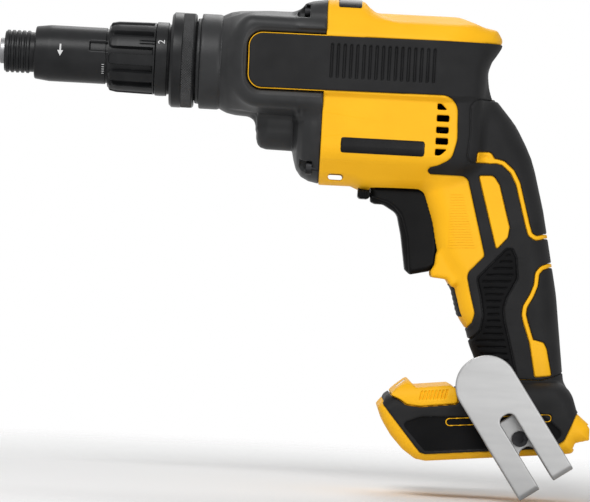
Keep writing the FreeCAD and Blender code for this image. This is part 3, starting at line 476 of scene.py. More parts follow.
# Outer form: body, handle and foot, each from a side outline and a section, blended where they meet
form = dict(
    bodyHalf=33.5, lowerHalf=29.0, top=36.2, roof=30.5, low=-62.8, bodyRound=6.5,
    handleHalf=18.5, waist=1.6, waistZ=-125.0, waistSpan=28.0, handleRound=12.0,
    footHalf=35.0, footTop=39.6, footTilt=5.75, footBase=(shaftBack + 3, -206.0), footRound=7.0,
    footShoulder=12.0,
    lipHalf=15.0, lipRound=2.0, handleBlend=5.0, footBlend=4.0, lipBlend=2.0,
    wall=3.0, deckLow=16.0, deckThick=2.5, railSpan=(-22.0, 90.0), railWall=4.0, railReach=5.0, railThick=3.5,
    mouthLow=-12.0,
)
frontX = jointX - 15
bodySide = [
    (frontX, form["top"], 0), (jointX + 19.4, form["top"], 5), (jointX + 26, form["roof"] - 0.2, 5),
    (shaftBack - 16, form["roof"], 16), (shaftBack - 2.8, form["roof"] - 5.2, 14),
    (shaftBack + 4.8, form["roof"] - 6.3, 3), (shaftBack + 8.2, form["roof"] - 11.4, 3),
    (shaftBack + 7.0, form["roof"] - 15.4, 2), (shaftBack + 1.8, 7.4, 6), (shaftBack - 0.4, 2, 8),
    (shaftBack - 1, motorZ - 11.5, 10), (shaftBack - 16, form["low"] - 1.2, 12),
    (shaftBack - 40, form["low"] - 1.6, 0), (shaftBack - 62.5, form["low"] - 2.7, 0),
    (shaftBack - 69.5, form["low"] + 0.2, 0), (frontX, form["low"], 0),
]
bodyFlank = [
    (16, 44, 0), (form["bodyHalf"], 17, 6), (form["bodyHalf"], -13.2, 1.5),
    (form["lowerHalf"] + 1.5, -16, 1.5), (form["lowerHalf"], motorZ - 11.5, 16), (5, -72.8, 0),
]
bodySection = bodyFlank + [(-y, z, r) for y, z, r in reversed(bodyFlank)]
bodyPlan = [(100, 60, 0), (209, 60, 0), (276, 15.5, 14), (276, -15.5, 14), (209, -60, 0), (100, -60, 0)]
# Behind the hump the roof falls away to a crease along each side
roofSide = [
    (194.8, 38, 0), (197.2, 33.6, 4), (200.5, 30.6, 4), (204.2, 27.0, 5), (209.5, 24.4, 6), (216, 22, 0),
    (300, 22, 0), (300, 60, 0), (194, 60, 0),
]
roofCrease = dict(y=28.3, z=25.0, slope=21.5, valley=3.0, edge=1.0)


def behind(points):
    return [(shaftBack + x, z, r) for x, z, r in points]


handleSide = behind([
    (-27, 20, 0), (-33, -50, 0), (-30.2, -66, 8), (-25.3, -80, 40), (-22, -97, 30), (-17, -106, 10),
    (-12.6, -112, 20), (-7.6, -129.8, 20), (-2.0, -137.4, 2.5), (0.2, -145, 20), (4.4, -154, 30),
    (6, -190, 0), (54, -190, 0), (48.6, -156, 100), (43.4, -116, 100), (33.9, -71, 80), (26.5, -43.6, 60),
    (17, -26.5, 40), (6, -13.8, 3), (2.2, -6.5, 6), (0.3, -1, 6), (0, 20, 0),
])
footSide = [
    (-41.8, 39.5, 3), (-3.1, 39.5, 0), (29.4, 42.3, 0), (50.3, 40.8, 4), (54.2, 31, 6), (55.9, 23.3, 4),
    (64.0, 15.1, 4), (63.6, 7.1, 1.5), (55.5, 5.9, 0.5), (53.7, 1.2, 2.5), (48.7, 0.9, 1),
    (-25.1, 0.9, 3), (-30.6, 2.3, 3), (-37.2, 7.9, 8), (-43, 15.6, 10), (-46.8, 22.8, 10),
    (-49.1, 31.1, 1),
]
lampSide = [
    (-42.2, 37.3, 1), (-39.4, 39.85, 0.5), (-32.2, 44.95, 1.2), (-28.4, 40.4, 1), (-10, 40.7, 1.5),
    (-6.9, 38.7, 2), (-6.4, 30.8, 1.5), (-26.7, 30.3, 2), (-33.7, 31.7, 2), (-37.2, 34.6, 1),
]
triggerSide = [
    (203.5, -70.9, 1.2), (206, -72, 1.5), (210.5, -72, 4), (218.2, -76.5, 6), (221, -88, 20),
    (224, -106.5, 2), (227, -109, 1.5), (236.5, -106.8, 2), (242, -104, 0), (242, -66, 3),
    (231, -62.2, 2), (203.5, -62.4, 1),
]
# Lower corner of the opening for the trigger
lipSide = [
    (246, -92, 0), (240.6, -97, 4), (240.2, -103, 2), (238.2, -106.6, 1), (238.6, -109.3, 0.8),
    (246.8, -110, 1.2), (249.5, -114, 1), (256, -110, 0),
]
tilt = math.radians(form["footTilt"])


def inFoot(points):
    u, w = np.asarray(points, float).T
    baseX, baseZ = form["footBase"]
    x = baseX + u * math.cos(tilt) - w * math.sin(tilt)
    return np.stack([x, baseZ + u * math.sin(tilt) + w * math.cos(tilt)], 1)


def footAxes(x, z):
    baseX, baseZ = form["footBase"]
    dx, dz = (x - baseX)[:, None, None], (z - baseZ)[None, None, :]
    return dx * math.cos(tilt) + dz * math.sin(tilt), -dx * math.sin(tilt) + dz * math.cos(tilt)


def footField(corners, x, z):
    return outlineField(inFoot(roundPath(corners)), x, z)[:, None, :]


def outerForm(x, y, z):
    across = np.abs(y)[None, :, None]
    plan = outlineField(roundPath(bodyPlan), x, np.abs(y))[:, :, None]
    body = roundMax(sideField(bodySide, x, z), crossField(bodySection, y, z), form["bodyRound"])
    body = roundMax(body, plan, form["bodyRound"])
    lean = math.radians(roofCrease["slope"])
    rise = (z - roofCrease["z"])[None, None, :]
    above = rise * math.cos(lean) + (across - roofCrease["y"]) * math.sin(lean)
    roof = roundMin(-sideField(roofSide, x, z), above, roofCrease["valley"])
    body = roundMax(body, roof, roofCrease["edge"])
    waist = form["waist"] * np.exp(-(((z - form["waistZ"]) / form["waistSpan"]) ** 2))
    half = (form["handleHalf"] - waist)[None, None, :]
    handle = roundMax(sideField(handleSide, x, z), across - half, form["handleRound"])
    w = footAxes(x, z)[1]
    footSection = roundMax(across - form["footHalf"], w - form["footTop"], form["footShoulder"])
    foot = roundMax(footField(footSide, x, z), footSection, form["footRound"])
    lip = roundMax(sideField(lipSide, x, z), across - form["lipHalf"], form["lipRound"])
    whole = roundMin(roundMin(body, handle, form["handleBlend"]), foot, form["footBlend"])
    return roundMin(whole, lip, form["lipBlend"])


# Zones on the sides of the tool, as outlines in X and Z
yellowZone = [
    (100, -13.7, 0), (176, -13.2, 0), (247, -12.4, 9), (247.9, -36, 10), (245.4, -46.2, 7),
    (238.5, -50, 8), (234.3, -51.1, 1.2), (233, -52.8, 1.1), (234.4, -54.6, 1.2), (254.8, -54.8, 4.5),
    (266.3, -97, 2.5), (258.2, -105.8, 3.5), (257.6, -108.8, 3), (259.7, -117.5, 8), (262.7, -128, 4),
    (261.6, -132.6, 3), (258.2, -137.2, 1.5), (252, -137.5, 0), (100, -139, 0),
]
rubberZone = [
    (134.5, 15.4, 7), (135.0, -13.5, 7), (176, -13.2, 0), (228, -12.6, 0), (228, -162.6, 0),
    (300, -161.7, 6), (306, -159.8, 6), (313, -156.6, 0), (335, -154, 0), (345, 17.4, 0), (176, 15.7, 0),
]
tongueZone = [(134.0, 15.9, 7.5), (134.5, -14.0, 7.5), (176.2, -13.7, 0), (176.2, 16.2, 0)]
bootZone = [
    (256.8, -162.7, 1), (300, -161.8, 6), (306, -159.9, 6), (313, -156.7, 0), (335, -154.1, 0),
    (335, -172, 0), (319, -177.8, 4), (313, -192.5, 3), (306.5, -197.2, 4), (239.5, -203.8, 2),
    (236.5, -203, 2), (215.6, -178.3, 1.5), (217, -173, 1.5),
]
padGroove = [
    (280, -13.2, 0), (257.5, -13.4, 3.5), (254.1, -17.5, 4), (254.6, -32.5, 20), (253.7, -44.5, 3),
    (254.8, -47.6, 2.5), (259.5, -47.7, 0),
]
pipingTop = [
    (266, -46.2, 0), (269.5, -45.8, 2), (273.4, -46.6, 3), (278.6, -51, 4), (282, -57.2, 5),
    (288, -78.2, 6), (289.9, -84, 3), (293.2, -86, 3), (298.2, -84.6, 3), (330, -83.6, 0),
]
pipingLow = [
    (330, -99.4, 0), (301.5, -100, 3), (297.2, -101.7, 3), (294.9, -104.6, 3), (294.5, -111.2, 5),
    (292.4, -117, 6), (289.3, -122.8, 5), (288.9, -127, 5), (290, -131, 6), (293.9, -141.9, 8),
    (297.3, -159, 0),
]
pipingTab = [(258.9, -47, 0.6), (259.2, -41.7, 1.2), (266.5, -41.3, 2.5), (268.9, -45.2, 1), (267.5, -47, 0.6)]
tabDish = [(260.4, -43.3, 0.5), (265, -43.1, 0.5), (265.4, -45, 0.5), (260.5, -45.3, 0.5)]
lowPanel = [(293.9, -140.2, 1), (300.3, -141.7, 1.8), (302, -145, 3), (305.3, -159, 0.8), (297.4, -160, 0.8)]
sideInsert = [
    (260.9, -54.1, 0.8), (268.6, -53.8, 3), (272, -58.5, 3), (278.6, -81, 3), (278, -86.2, 2.5),
    (272.3, -92.9, 0.7),
]
hourglass = [
    (280.8, -92.2, 1.5), (283.2, -97, 3), (284.4, -108, 5), (279.2, -118.6, 6), (277.8, -124.5, 6),
    (278.5, -130.5, 6), (281.6, -141.3, 10), (287.5, -163.5, 0), (240, -163.5, 0), (240, -142.3, 0),
    (261.2, -142.3, 3), (266, -137.2, 4), (267.2, -129, 6), (265.4, -118.5, 8), (262.8, -109, 3),
    (277.6, -92.6, 1.2),
]
fingerStrip = [(244, -112.8, 0), (251.6, -112.8, 1), (257.2, -130.2, 1), (248, -130.2, 0)]
bootPanel = [
    (226, -188, 2), (236, -183.9, 5), (262, -182.4, 8), (300, -178.6, 5), (312.5, -189, 3),
    (306, -195.6, 3), (239.5, -202.4, 3),
]
labelZone = [(185.7, -37.5, 1.5), (230.7, -37.5, 1.5), (230.7, -45.8, 1.5), (185.7, -45.8, 1.5)]

# Housing halves, yellow
housing = dict(
    step=0.65 * coarse, proud=0.5, edge=1.0, seam=0.06, triggerGap=0.5, triggerTravel=7.3, triggerHalf=11.3,
    wellR=4.0, hookHoleR=2.5, hookHoleY=20.0, lampGap=0.15, bootGap=0.5, recess=1.0, recessBlend=1.5,
    block=((jointX - 1, 0, -209), (331, 36, 40)),
)
vents = dict(x=(236.3, 243.0), half=1.75, edge=0.4, rows=[motorZ + row for row in (15.9, 9.7, 3.4, -2.5, -8.4)])
ventFrame = [
    (230, -15, 0), (238.5, -17.0, 4), (243.4, -22, 4), (243.4, -40.5, 4), (238.5, -45.2, 4), (230, -48, 0),
]
keelSlot = dict(x=(jointX + 4.8, jointX + 12.8), z=(form["low"] + 2.6, form["low"] + 5.6), edge=1.4)
screwMarks = [(197.5, 20.0), (254.0, 18.0), (247.0, -63.0), (277.0, -72.0), (262.0, -118.0), (297.0, -137.0)]
hookSpot = [sum(cadSpan("hook_screw", axis)) / 2 for axis in (0, 2)]


# Screws go in from the right, so only the right half has wells
def wells(x, z, side):
    nothing = np.full((len(x), 1, len(z)), far, np.float32)
    spots = screwMarks if side > 0 else []
    return union(nothing, *(ringField(x, z, spot) - housing["wellR"] for spot in spots))


def allRubber(x, z):
    return np.maximum(sideField(rubberZone, x, z), -sideField(yellowZone, x, z))


def bootField(x, z):
    return np.maximum(sideField(bootZone, x, z), housing["bootGap"] - footField(lampSide, x, z))


def sideName(side):
    return "right" if side > 0 else "left"


def makeHousing(side):
    lines = sampleLines(*housing["block"], housing["step"])
    x, y, z = lines
    across = y[None, :, None]
    outer = outerForm(x, y, z)
    u, w = footAxes(x, z)
    proud = roundMax(outer - housing["proud"], sideField(yellowZone, x, z), housing["edge"])
    shell = overlap(np.minimum(outer, proud), jointX - x[:, None, None], housing["seam"] - across)
    room = np.maximum(outer + form["wall"], form["deckLow"] + form["deckThick"] - w)
    rail = span(u, *form["railSpan"])
    channelHalf = form["footHalf"] - form["railWall"]
    channel = overlap(rail, across - channelHalf, span(w, form["railThick"], form["deckLow"]))
    mouthHalf = channelHalf - form["railReach"]
    mouth = overlap(rail, across - mouthHalf, span(w, form["mouthLow"], form["railThick"] + 1))
    pulled = [(a + housing["triggerTravel"], b, r) for a, b, r in triggerSide]
    trigger = np.minimum(sideField(triggerSide, x, z), sideField(pulled, x, z)) - housing["triggerGap"]
    triggerRoom = np.maximum(trigger, across - housing["triggerHalf"])
    width = span(x, *vents["x"])[:, None]
    heights = [span(z, row - vents["half"], row + vents["half"])[None, :] for row in vents["rows"]]
    slots = union(*(roundMax(width, height, vents["edge"]) for height in heights))[:, None, :]
    slots = roundMax(slots, sideField(ventFrame, x, z), vents["edge"])
    keel = roundMax(span(x, *keelSlot["x"])[:, None], span(z, *keelSlot["z"])[None, :], keelSlot["edge"])
    keel = keel[:, None, :]
    lampRoom = footField(lampSide, x, z) - housing["lampGap"]
    hookHole = np.maximum(ringField(x, z, hookSpot) - housing["hookHoleR"], housing["hookHoleY"] - across)
    rubberRoom = roundMin(allRubber(x, z), bootField(x, z), housing["recessBlend"])
    recess = np.maximum(rubberRoom, -outer - housing["recess"])
    for cut in (room, channel, mouth, triggerRoom, slots, keel, lampRoom, hookHole, recess, wells(x, z, side)):
        shell = np.maximum(shell, -cut)
    name = sideName(side)
    piece = fieldPiece("shell_" + name, shell, lines, housing["step"], finish["yellowShell"], side < 0)
    place(piece, "yellow_shell", "housing_" + name)


# Yellow rim round the front end of each rubber band
tongue = dict(
    step=0.3 * coarse, back=30.2, proud=0.35, edge=0.3, bed=1.0, most=40000,
    block=((132, 29, -17), (jointX + 1.5, 36, 19)),
)


def makeTongue(side):
    lines = sampleLines(*tongue["block"], tongue["step"])
    x, y, z = lines
    across = y[None, :, None]
    depth = span(across, tongue["back"], form["bodyHalf"] + tongue["proud"])
    plate = roundMax(sideField(tongueZone, x, z), depth, tongue["edge"])
    bed = np.maximum(sideField(rubberZone, x, z), form["bodyHalf"] - tongue["bed"] - across)
    plate = np.maximum(plate, -bed)
    name = "tongue_" + sideName(side)
    piece = fieldPiece(name, plate, lines, tongue["step"], finish["yellowShell"], side < 0, tongue["most"])
    place(piece, "yellow_shell")


for side in (-1, 1):
    makeHousing(side)
    makeTongue(side)
print("housing halves made")

# Rubber skins
rubber = dict(
    step=0.45 * coarse, proud=1.0, edge=0.7, sunk=0.95, split=-13.3, lap=0.5, leastRelief=0.04, most=90000,
    trimProud=0.95, trimGap=0.3, trimInset=0.4, trimEdge=0.5, pipingHalf=1.05, dishDepth=0.6,
    bandBlock=((131, 14, -18), (275, 36, 21)), gripBlock=((226, 0, -166), (322, 37, -11)),
    bootBlock=((213, 0, -206), (330, 37, -152)),
)
bandRibs = dict(firstX=178.6, pitch=3.42, count=17, low=-6.5, high=11.8, half=0.6, depth=1.25, corner=0.7)
gripLines = dict(padHalf=0.45, padDepth=1.0, waistHalf=0.5, waistDepth=1.1)
waistRibs = dict(pitch=3.53, slope=0.054, shift=1.4, half=0.5, depth=0.9, inset=2.4)
fingerPad = dict(height=0.82, ripple=0.14, pitch=2.7, edge=0.4, half=11.0, sunk=0.4)
bootSlot = dict(
    start=(251.5, -186), end=(303.5, -181.2), half=2.2, depth=0.9, rim=0.65, rimHeight=0.6, rimEdge=0.2,
)
bootDish = dict(depth=0.75, soft=1.2, holeGap=1.0)


# Gives the faces inside a side outline a second finish, a darker copy of the same rubber: painted shade
def paintShade(piece, corners, material):
    faces = piece.data.polygons
    middles = np.empty(len(faces) * 3, np.float32)
    faces.foreach_get("center", middles)
    x, _, z = middles.reshape(-1, 3).T * perMetre
    inside = np.zeros(len(faces), bool)
    path = roundPath(corners)
    for (px, pz), (qx, qz) in zip(path, np.roll(path, -1, axis=0)):
        if pz != qz:
            level = (z >= min(pz, qz)) & (z < max(pz, qz))
            inside ^= level & (x < px + (z - pz) * (qx - px) / (qz - pz))
    piece.data.materials.append(material)
    faces.foreach_set("material_index", inside.astype(np.int32))


def bandRelief(x, z):
    last = bandRibs["count"] - 1
    phase = np.clip((x - bandRibs["firstX"]) / bandRibs["pitch"], 0, last)
    near = np.abs(phase - np.round(phase)) * bandRibs["pitch"]
    beyond = np.abs(x - bandRibs["firstX"] - phase * bandRibs["pitch"])
    near = np.where((phase > 0) & (phase < last), near, beyond)
    ends = span(z, bandRibs["low"], bandRibs["high"])
    ribs = roundMax(near[:, None] - bandRibs["half"], ends[None, :], bandRibs["corner"])
    return groove(ribs, 0, bandRibs["depth"])[:, None, :]


def gripRelief(x, z):
    pad = groove(sideField(padGroove, x, z, False), gripLines["padHalf"], gripLines["padDepth"])
    waist = sideField(hourglass, x, z)
    edge = groove(np.abs(waist), gripLines["waistHalf"], gripLines["waistDepth"])
    level = (z[None, :] + waistRibs["shift"] - waistRibs["slope"] * x[:, None]) / waistRibs["pitch"]
    near = (np.abs(level - np.round(level)) * waistRibs["pitch"])[:, None, :]
    ends = np.maximum(waist, sideField(handleSide, x, z)) + waistRibs["inset"]
    ribs = groove(np.maximum(near - waistRibs["half"], ends), 0, waistRibs["depth"])
    return overlap(pad, edge, ribs)


def yellowBits(x, z):
    piping = np.minimum(sideField(pipingTop, x, z, False), sideField(pipingLow, x, z, False))
    panels = (sideField(corners, x, z) for corners in (sideInsert, lowPanel, pipingTab))
    return union(piping - rubber["pipingHalf"], *panels)


def makeBand(side):
    name = "band_" + sideName(side)
    lines = sampleLines(*rubber["bandBlock"], rubber["step"])
    x, y, z = lines
    base = np.where(x[:, None, None] < jointX, y[None, :, None] - form["bodyHalf"], outerForm(x, y, z))
    skin = roundMax(base - rubber["proud"] + bandRelief(x, z), allRubber(x, z), rubber["edge"])
    skin = overlap(skin, -rubber["sunk"] - base, rubber["split"] - z[None, None, :], -wells(x, z, side))
    look = finish["blackRubber"]
    piece = fieldPiece(name + "_rubber", skin, lines, rubber["step"], look, side < 0, rubber["most"])
    place(piece, "black_rubber", name)


def makeGrip(side):
    name = "grip_" + sideName(side)
    lines = sampleLines(*rubber["gripBlock"], rubber["step"])
    x, y, z = lines
    across = y[None, :, None]
    outer = outerForm(x, y, z)
    zone = allRubber(x, z)
    bits = yellowBits(x, z)
    outside = np.maximum(housing["seam"] - across, -wells(x, z, side))
    relief = np.maximum(gripRelief(x, z), rubber["leastRelief"])
    free = np.maximum(zone, rubber["trimGap"] - bits)
    skin = roundMax(outer - rubber["proud"] + relief, free, rubber["edge"])
    skin = overlap(skin, -rubber["sunk"] - outer, z[None, None, :] - rubber["split"] - rubber["lap"])
    wave = np.sin(z * 2 * math.pi / fingerPad["pitch"])[None, None, :]
    height = fingerPad["height"] + fingerPad["ripple"] * wave
    strip = roundMax(outer - height, sideField(fingerStrip, x, z), fingerPad["edge"])
    strip = overlap(strip, across - fingerPad["half"], -fingerPad["sunk"] - outer)
    skin = np.maximum(np.minimum(skin, strip), outside)
    piece = fieldPiece(name + "_rubber", skin, lines, rubber["step"], finish["blackRubber"], side < 0)
    # Painted shade: the ribbed waist gets the darker copy of the same rubber
    paintShade(piece, hourglass, finish["deepRubber"])
    place(piece, "black_rubber", name)
    dish = groove(sideField(tabDish, x, z), 0, rubber["dishDepth"])
    shape = np.maximum(bits, zone + rubber["trimInset"])
    trim = roundMax(outer - rubber["trimProud"] + dish, shape, rubber["trimEdge"])
    trim = overlap(trim, -rubber["sunk"] - outer, outside)
    piece = fieldPiece(name + "_trim", trim, lines, rubber["step"], finish["yellowShell"], side < 0)
    place(piece, "yellow_shell")


def makeBoot(side):
    name = "boot_" + sideName(side)
    lines = sampleLines(*rubber["bootBlock"], rubber["step"])
    x, y, z = lines
    across = y[None, :, None]
    outer = outerForm(x, y, z)
    slot = sideField([(*bootSlot["start"], 0), (*bootSlot["end"], 0)], x, z, False) - bootSlot["half"]
    panel = bootDish["depth"] * ease(sideField(bootPanel, x, z), bootDish["soft"])
    relief = np.maximum(panel, np.where(slot < 0, bootSlot["depth"], 0))
    skin = roundMax(outer - rubber["proud"] + relief, bootField(x, z), rubber["edge"])
    hole = ringField(x, z, hookSpot) - housing["hookHoleR"] - bootDish["holeGap"]
    hole = np.maximum(hole, housing["hookHoleY"] - across)
    skin = overlap(skin, -rubber["sunk"] - outer, housing["seam"] - across, -hole)
    look = finish["blackRubber"]
    piece = fieldPiece(name + "_rubber", skin, lines, rubber["step"], look, side < 0, rubber["most"])
    # Painted shade: the dished panel gets the darker copy of the same rubber
    paintShade(piece, bootPanel, finish["deepRubber"])
    place(piece, "black_rubber", name)
    edge = np.maximum(slot, -slot - bootSlot["rim"])
    rim = roundMax(span(outer, 0.0, bootSlot["rimHeight"]), edge, bootSlot["rimEdge"])
    rim = overlap(rim, housing["hookHoleY"] - across, -hole)
    piece = fieldPiece(name + "_rim", rim, lines, rubber["step"], finish["yellowShell"], side < 0)
    place(piece, "yellow_shell")


# Dark strip on each side, left bare
label = dict(step=0.45 * coarse, back=0.1, face=0.85, edge=0.2, block=((183, 20, -48), (233, 36, -35)))


def makeLabel(side):
    lines = sampleLines(*label["block"], label["step"])
    x, y, z = lines
    depth = span(outerForm(x, y, z), label["back"], label["face"])
    film = roundMax(depth, sideField(labelZone, x, z), label["edge"])
    piece = fieldPiece("label_" + sideName(side), film, lines, label["step"], finish["labelFilm"], side < 0)
    place(piece, "black_plastic")


for side in (-1, 1):
    makeBand(side)
    makeGrip(side)
    makeBoot(side)
    makeLabel(side)
print("rubber skins made")

# Badge over the top of the hump, left bare
badge = dict(
    step=0.45 * coarse, x=(181.0, 193.5), low=31.8, corner=1.0, back=-0.8, face=0.45, edge=0.3,
    block=((179, -28, 29), (196, 28, 38)),
)


def makeBadge():
    lines = sampleLines(*badge["block"], badge["step"])
    x, y, z = lines
    shape = roundMax(span(x, *badge["x"])[:, None], badge["low"] - z[None, :], badge["corner"])[:, None, :]
    plate = roundMax(span(outerForm(x, y, z), badge["back"], badge["face"]), shape, badge["edge"])
    piece = fieldPiece("badge_plate", plate, lines, badge["step"], finish["labelFilm"])
    place(piece, "black_plastic", "badge")


makeBadge()
print("badge made")

# Gear case: barrel round the spindle, lobe round the pinion, pads beside the tongues, hump at the rear
case = dict(
    step=0.65 * coarse, frontX=108.2, frontEdge=0.7, sideEdge=3.0, lobeX=140.3, lobeEdge=1.0, blend=6.0,
    padRound=6.0, padGap=0.2, padInner=20.0, padBlend=10.0, humpRound=5.0, humpBlend=4.0,
    neckR=21.4, neckGap=1.9, stepR=23.0, stepGap=0.5, neckEnd=110.0, snoutR=11.0, snoutX=(62.4, 112.0),
    snoutEdge=0.5, block=((61, -35, -65), (jointX + 0.01, 35, 38)),
)
caseBed = dict(rim=3.0, rimFace=32.2, rimCorner=1.5, rimEdge=1.0, gap=0.7, floor=27.6)
caseWeb = dict(front=141.0, stations=(141, 160, 175.2), halves=(8.5, 9.0, 28.0), blend=3.0)
caseRooms = dict(
    gearR=30.15, gearX=164.5, pinionR=8.6, pinionX=154.0, clutchR=20.0, clutchX=(144.5, 164.6), boreR=8.0,
)
# Screws round the gear and round the pinion, with their angle from straight up
caseScrews = [
    dict(x=166.0, reach=33.0, turn=30.0, axisZ=0.0), dict(x=171.0, reach=26.3, turn=140.0, axisZ=motorZ),
]
screwWell = dict(r=4.2, notchHalf=3.4, length=6.5)
padSide = [(127.5, 25.6, 9), (129, -23.5, 12), (180, -24.5, 0), (180, 25.2, 0)]
humpSide = [
    (159.4, 10, 0), (159.4, 28, 2), (163.4, 33.2, 3), (167.5, 34.7, 4), (175.2, 36.0, 0), (190, 36.0, 0),
    (190, 10, 0),
]
barrelCurve = [
    (108.2, 25.65), (118.6, 25.65), (119.4, 24.9), (120.2, 25.6), (123.7, 27.2), (128.2, 28.1), (144, 29.1),
    (160.0, 29.3), (175.2, 30.5),
]
lobeCurve = [
    (140.3, 6.5), (141.3, 8.8), (143, 10.4), (146, 11.2), (160, 11.4), (161, 16.0), (162.6, 21.2), (165.4, 24.9),
    (169.6, 27.1), (175.2, 28.2),
]


# Distance from a turned shape, given as stations along X and their radii
def turnedField(curve, x, r):
    stations, radii = np.array(curve, np.float32).T
    radius = np.interp(x, stations, radii).astype(np.float32)
    slope = np.gradient(radius, x)
    return (r - radius[:, None, None]) / np.sqrt(1 + slope * slope)[:, None, None]


def makeGearCase():
    lines = sampleLines(*case["block"], case["step"])
    x, y, z = lines
    along = x[:, None, None]
    across = np.abs(y)[None, :, None]
    r = np.hypot(y[:, None], z[None, :])[None, :, :]
    q = np.hypot(y[:, None], z[None, :] - motorZ)[None, :, :]
    barrel = roundMax(turnedField(barrelCurve, x, r), case["frontX"] - along, case["frontEdge"])
    barrel = roundMax(barrel, across - caseHalf, case["sideEdge"])
    pad = roundMax(sideField(padSide, x, z), across - caseHalf + case["padGap"], case["padRound"])
    pad = np.maximum(pad, case["padInner"] - across)
    hump = roundMax(sideField(humpSide, x, z), crossField(bodySection, y, z), case["humpRound"])
    barrel = roundMin(roundMin(barrel, pad, case["padBlend"]), hump, case["humpBlend"])
    bed = sideField(tongueZone, x, z)
    dish = roundMax(bed - caseBed["rim"], caseBed["rimFace"] - across, caseBed["rimCorner"])
    barrel = roundMax(barrel, -dish, caseBed["rimEdge"])
    barrel = np.maximum(barrel, -np.maximum(bed - caseBed["gap"], caseBed["floor"] - across))
    lobe = roundMax(turnedField(lobeCurve, x, q), case["lobeX"] - along, case["lobeEdge"])
    webHalf = np.interp(x, caseWeb["stations"], caseWeb["halves"])[:, None, None]
    web = overlap(across - webHalf, span(z, motorZ, 0)[None, None, :], caseWeb["front"] - along)
    solid = roundMin(roundMin(barrel, lobe, case["blend"]), web, caseWeb["blend"])
    neck = np.maximum(r - case["neckR"], span(along, lockFront + case["neckGap"], case["neckEnd"]))
    shoulder = np.maximum(r - case["stepR"], span(along, lockBack + case["stepGap"], case["neckEnd"]))
    snout = roundMax(r - case["snoutR"], span(along, *case["snoutX"]), case["snoutEdge"])
    solid = np.maximum(union(solid, neck, shoulder, snout), along - jointX)
    gearRoom = np.maximum(r - caseRooms["gearR"], caseRooms["gearX"] - along)
    pinionRoom = np.maximum(q - caseRooms["pinionR"], caseRooms["pinionX"] - along)
    clutchRoom = np.maximum(r - caseRooms["clutchR"], span(along, *caseRooms["clutchX"]))
    solid = np.maximum(solid, -union(gearRoom, pinionRoom, clutchRoom, r - caseRooms["boreR"]))
    for side in (-1, 1):
        for screw in caseScrews:
            turn = math.radians(screw["turn"])
            spotY = side * screw["reach"] * math.sin(turn)
            spotZ = screw["axisZ"] + screw["reach"] * math.cos(turn)
            well = np.hypot(y[:, None] - spotY, z[None, :] - spotZ)[None, :, :] - screwWell["r"]
            height = np.abs(z - spotZ)[None, None, :] - screwWell["notchHalf"]
            notch = np.maximum(height, (spotY - y[None, :, None]) * side)
            length = span(along, screw["x"] - screwWell["length"], screw["x"])
            solid = np.maximum(solid, -np.maximum(np.minimum(well, notch), length))
    piece = fieldPiece("gear_case_casting", solid, lines, case["step"], finish["caseCasting"])
    place(piece, "case_black", "gear_case")


makeGearCase()
print("gear case made")

# Belt hook: bent strip in its own frame, s along the strip and n across it
hook = dict(
    step=0.4 * coarse, angle=55.6, topX=269.6, topZ=-165.6, strip=2.0, gap=12.0, width=33.0, length=61.0, past=90.0,
    bend=2.2, tipGap=0.05, shortS=20.5, shortCorner=5.0, slot=8.6, slotRound=3.5, longSlotS=18.0, shortSlotS=39.0,
    holeR=2.5, edge=0.45, most=60000,
)


def legField(s, n, start, half, corner):
    past = hook["past"]
    corners = [(start, -half, corner), (past, -half, 0), (past, half, 0), (start, half, corner)]
    return outlineField(roundPath(corners), s, n)


def makeHook():
    half, slotHalf, middle = hook["width"] / 2, hook["slot"] / 2, hook["strip"] / 2
    outY = -bootFace - hook["gap"] - 2 * hook["strip"]
    low, high = (-half - 1, outY - 1, -half - 1), (hook["length"] + 1, -bootFace + 1, half + 1)
    lines = sampleLines(low, high, hook["step"])
    s, y, n = lines
    nearY, farY, endS = -bootFace - middle, outY + middle, hook["length"] - middle
    bends = [(hook["shortS"], nearY, 0), (endS, nearY, hook["bend"]), (endS, farY, hook["bend"]), (-half, farY, 0)]
    strip = outlineField(roundPath(bends, False), s, y, False)[:, :, None] - middle
    longSlot = legField(s, n, hook["longSlotS"], slotHalf, hook["slotRound"])
    longLeg = np.maximum(legField(s, n, -half, half, half - hook["tipGap"]), -longSlot)[:, None, :]
    turn = math.radians(hook["angle"])
    offX, offZ = hookSpot[0] - hook["topX"], hookSpot[1] - hook["topZ"]
    holeS = offX * math.cos(turn) - offZ * math.sin(turn)
    holeN = offX * math.sin(turn) + offZ * math.cos(turn)
    hole = np.hypot(s[:, None] - holeS, n[None, :] - holeN) - hook["holeR"]
    shortSlot = legField(s, n, hook["shortSlotS"], slotHalf, hook["slotRound"])
    shortLeg = overlap(legField(s, n, hook["shortS"], half, hook["shortCorner"]), -shortSlot, -hole)[:, None, :]
    near = (y > outY + hook["gap"] / 2 + hook["strip"])[None, :, None]
    field = roundMax(strip, np.where(near, shortLeg, longLeg), hook["edge"])
    piece = fieldPiece("hook_strip", field, lines, hook["step"], finish["hookSteel"], most=hook["most"])
    top = Matrix.Translation((hook["topX"] * mm, 0, hook["topZ"] * mm))
    piece.data.transform(top @ Matrix.Rotation(turn, 4, "Y"))
    place(piece, "hook_steel", "belt_hook")


makeHook()
print("belt hook made")

# Trigger, button and lamp cap
lever = dict(
    step=0.4 * coarse, half=10.8, faceDrop=1.4, faceSoft=1.4, crease=0.7, creaseAt=0.4, creaseHalf=0.5, edge=3.5,
    stemZ=-88.0, stemR=3.0, stemX=(241.0, 252.0), block=((200, -12, -112), (254, 12, -63)),
)
leverCrease = [
    (190, -63.5, 0), (204.4, -69, 4), (214.5, -71.8, 10), (220.4, -78.1, 10), (223.7, -89, 20), (226, -112, 0),
    (190, -112, 0),
]


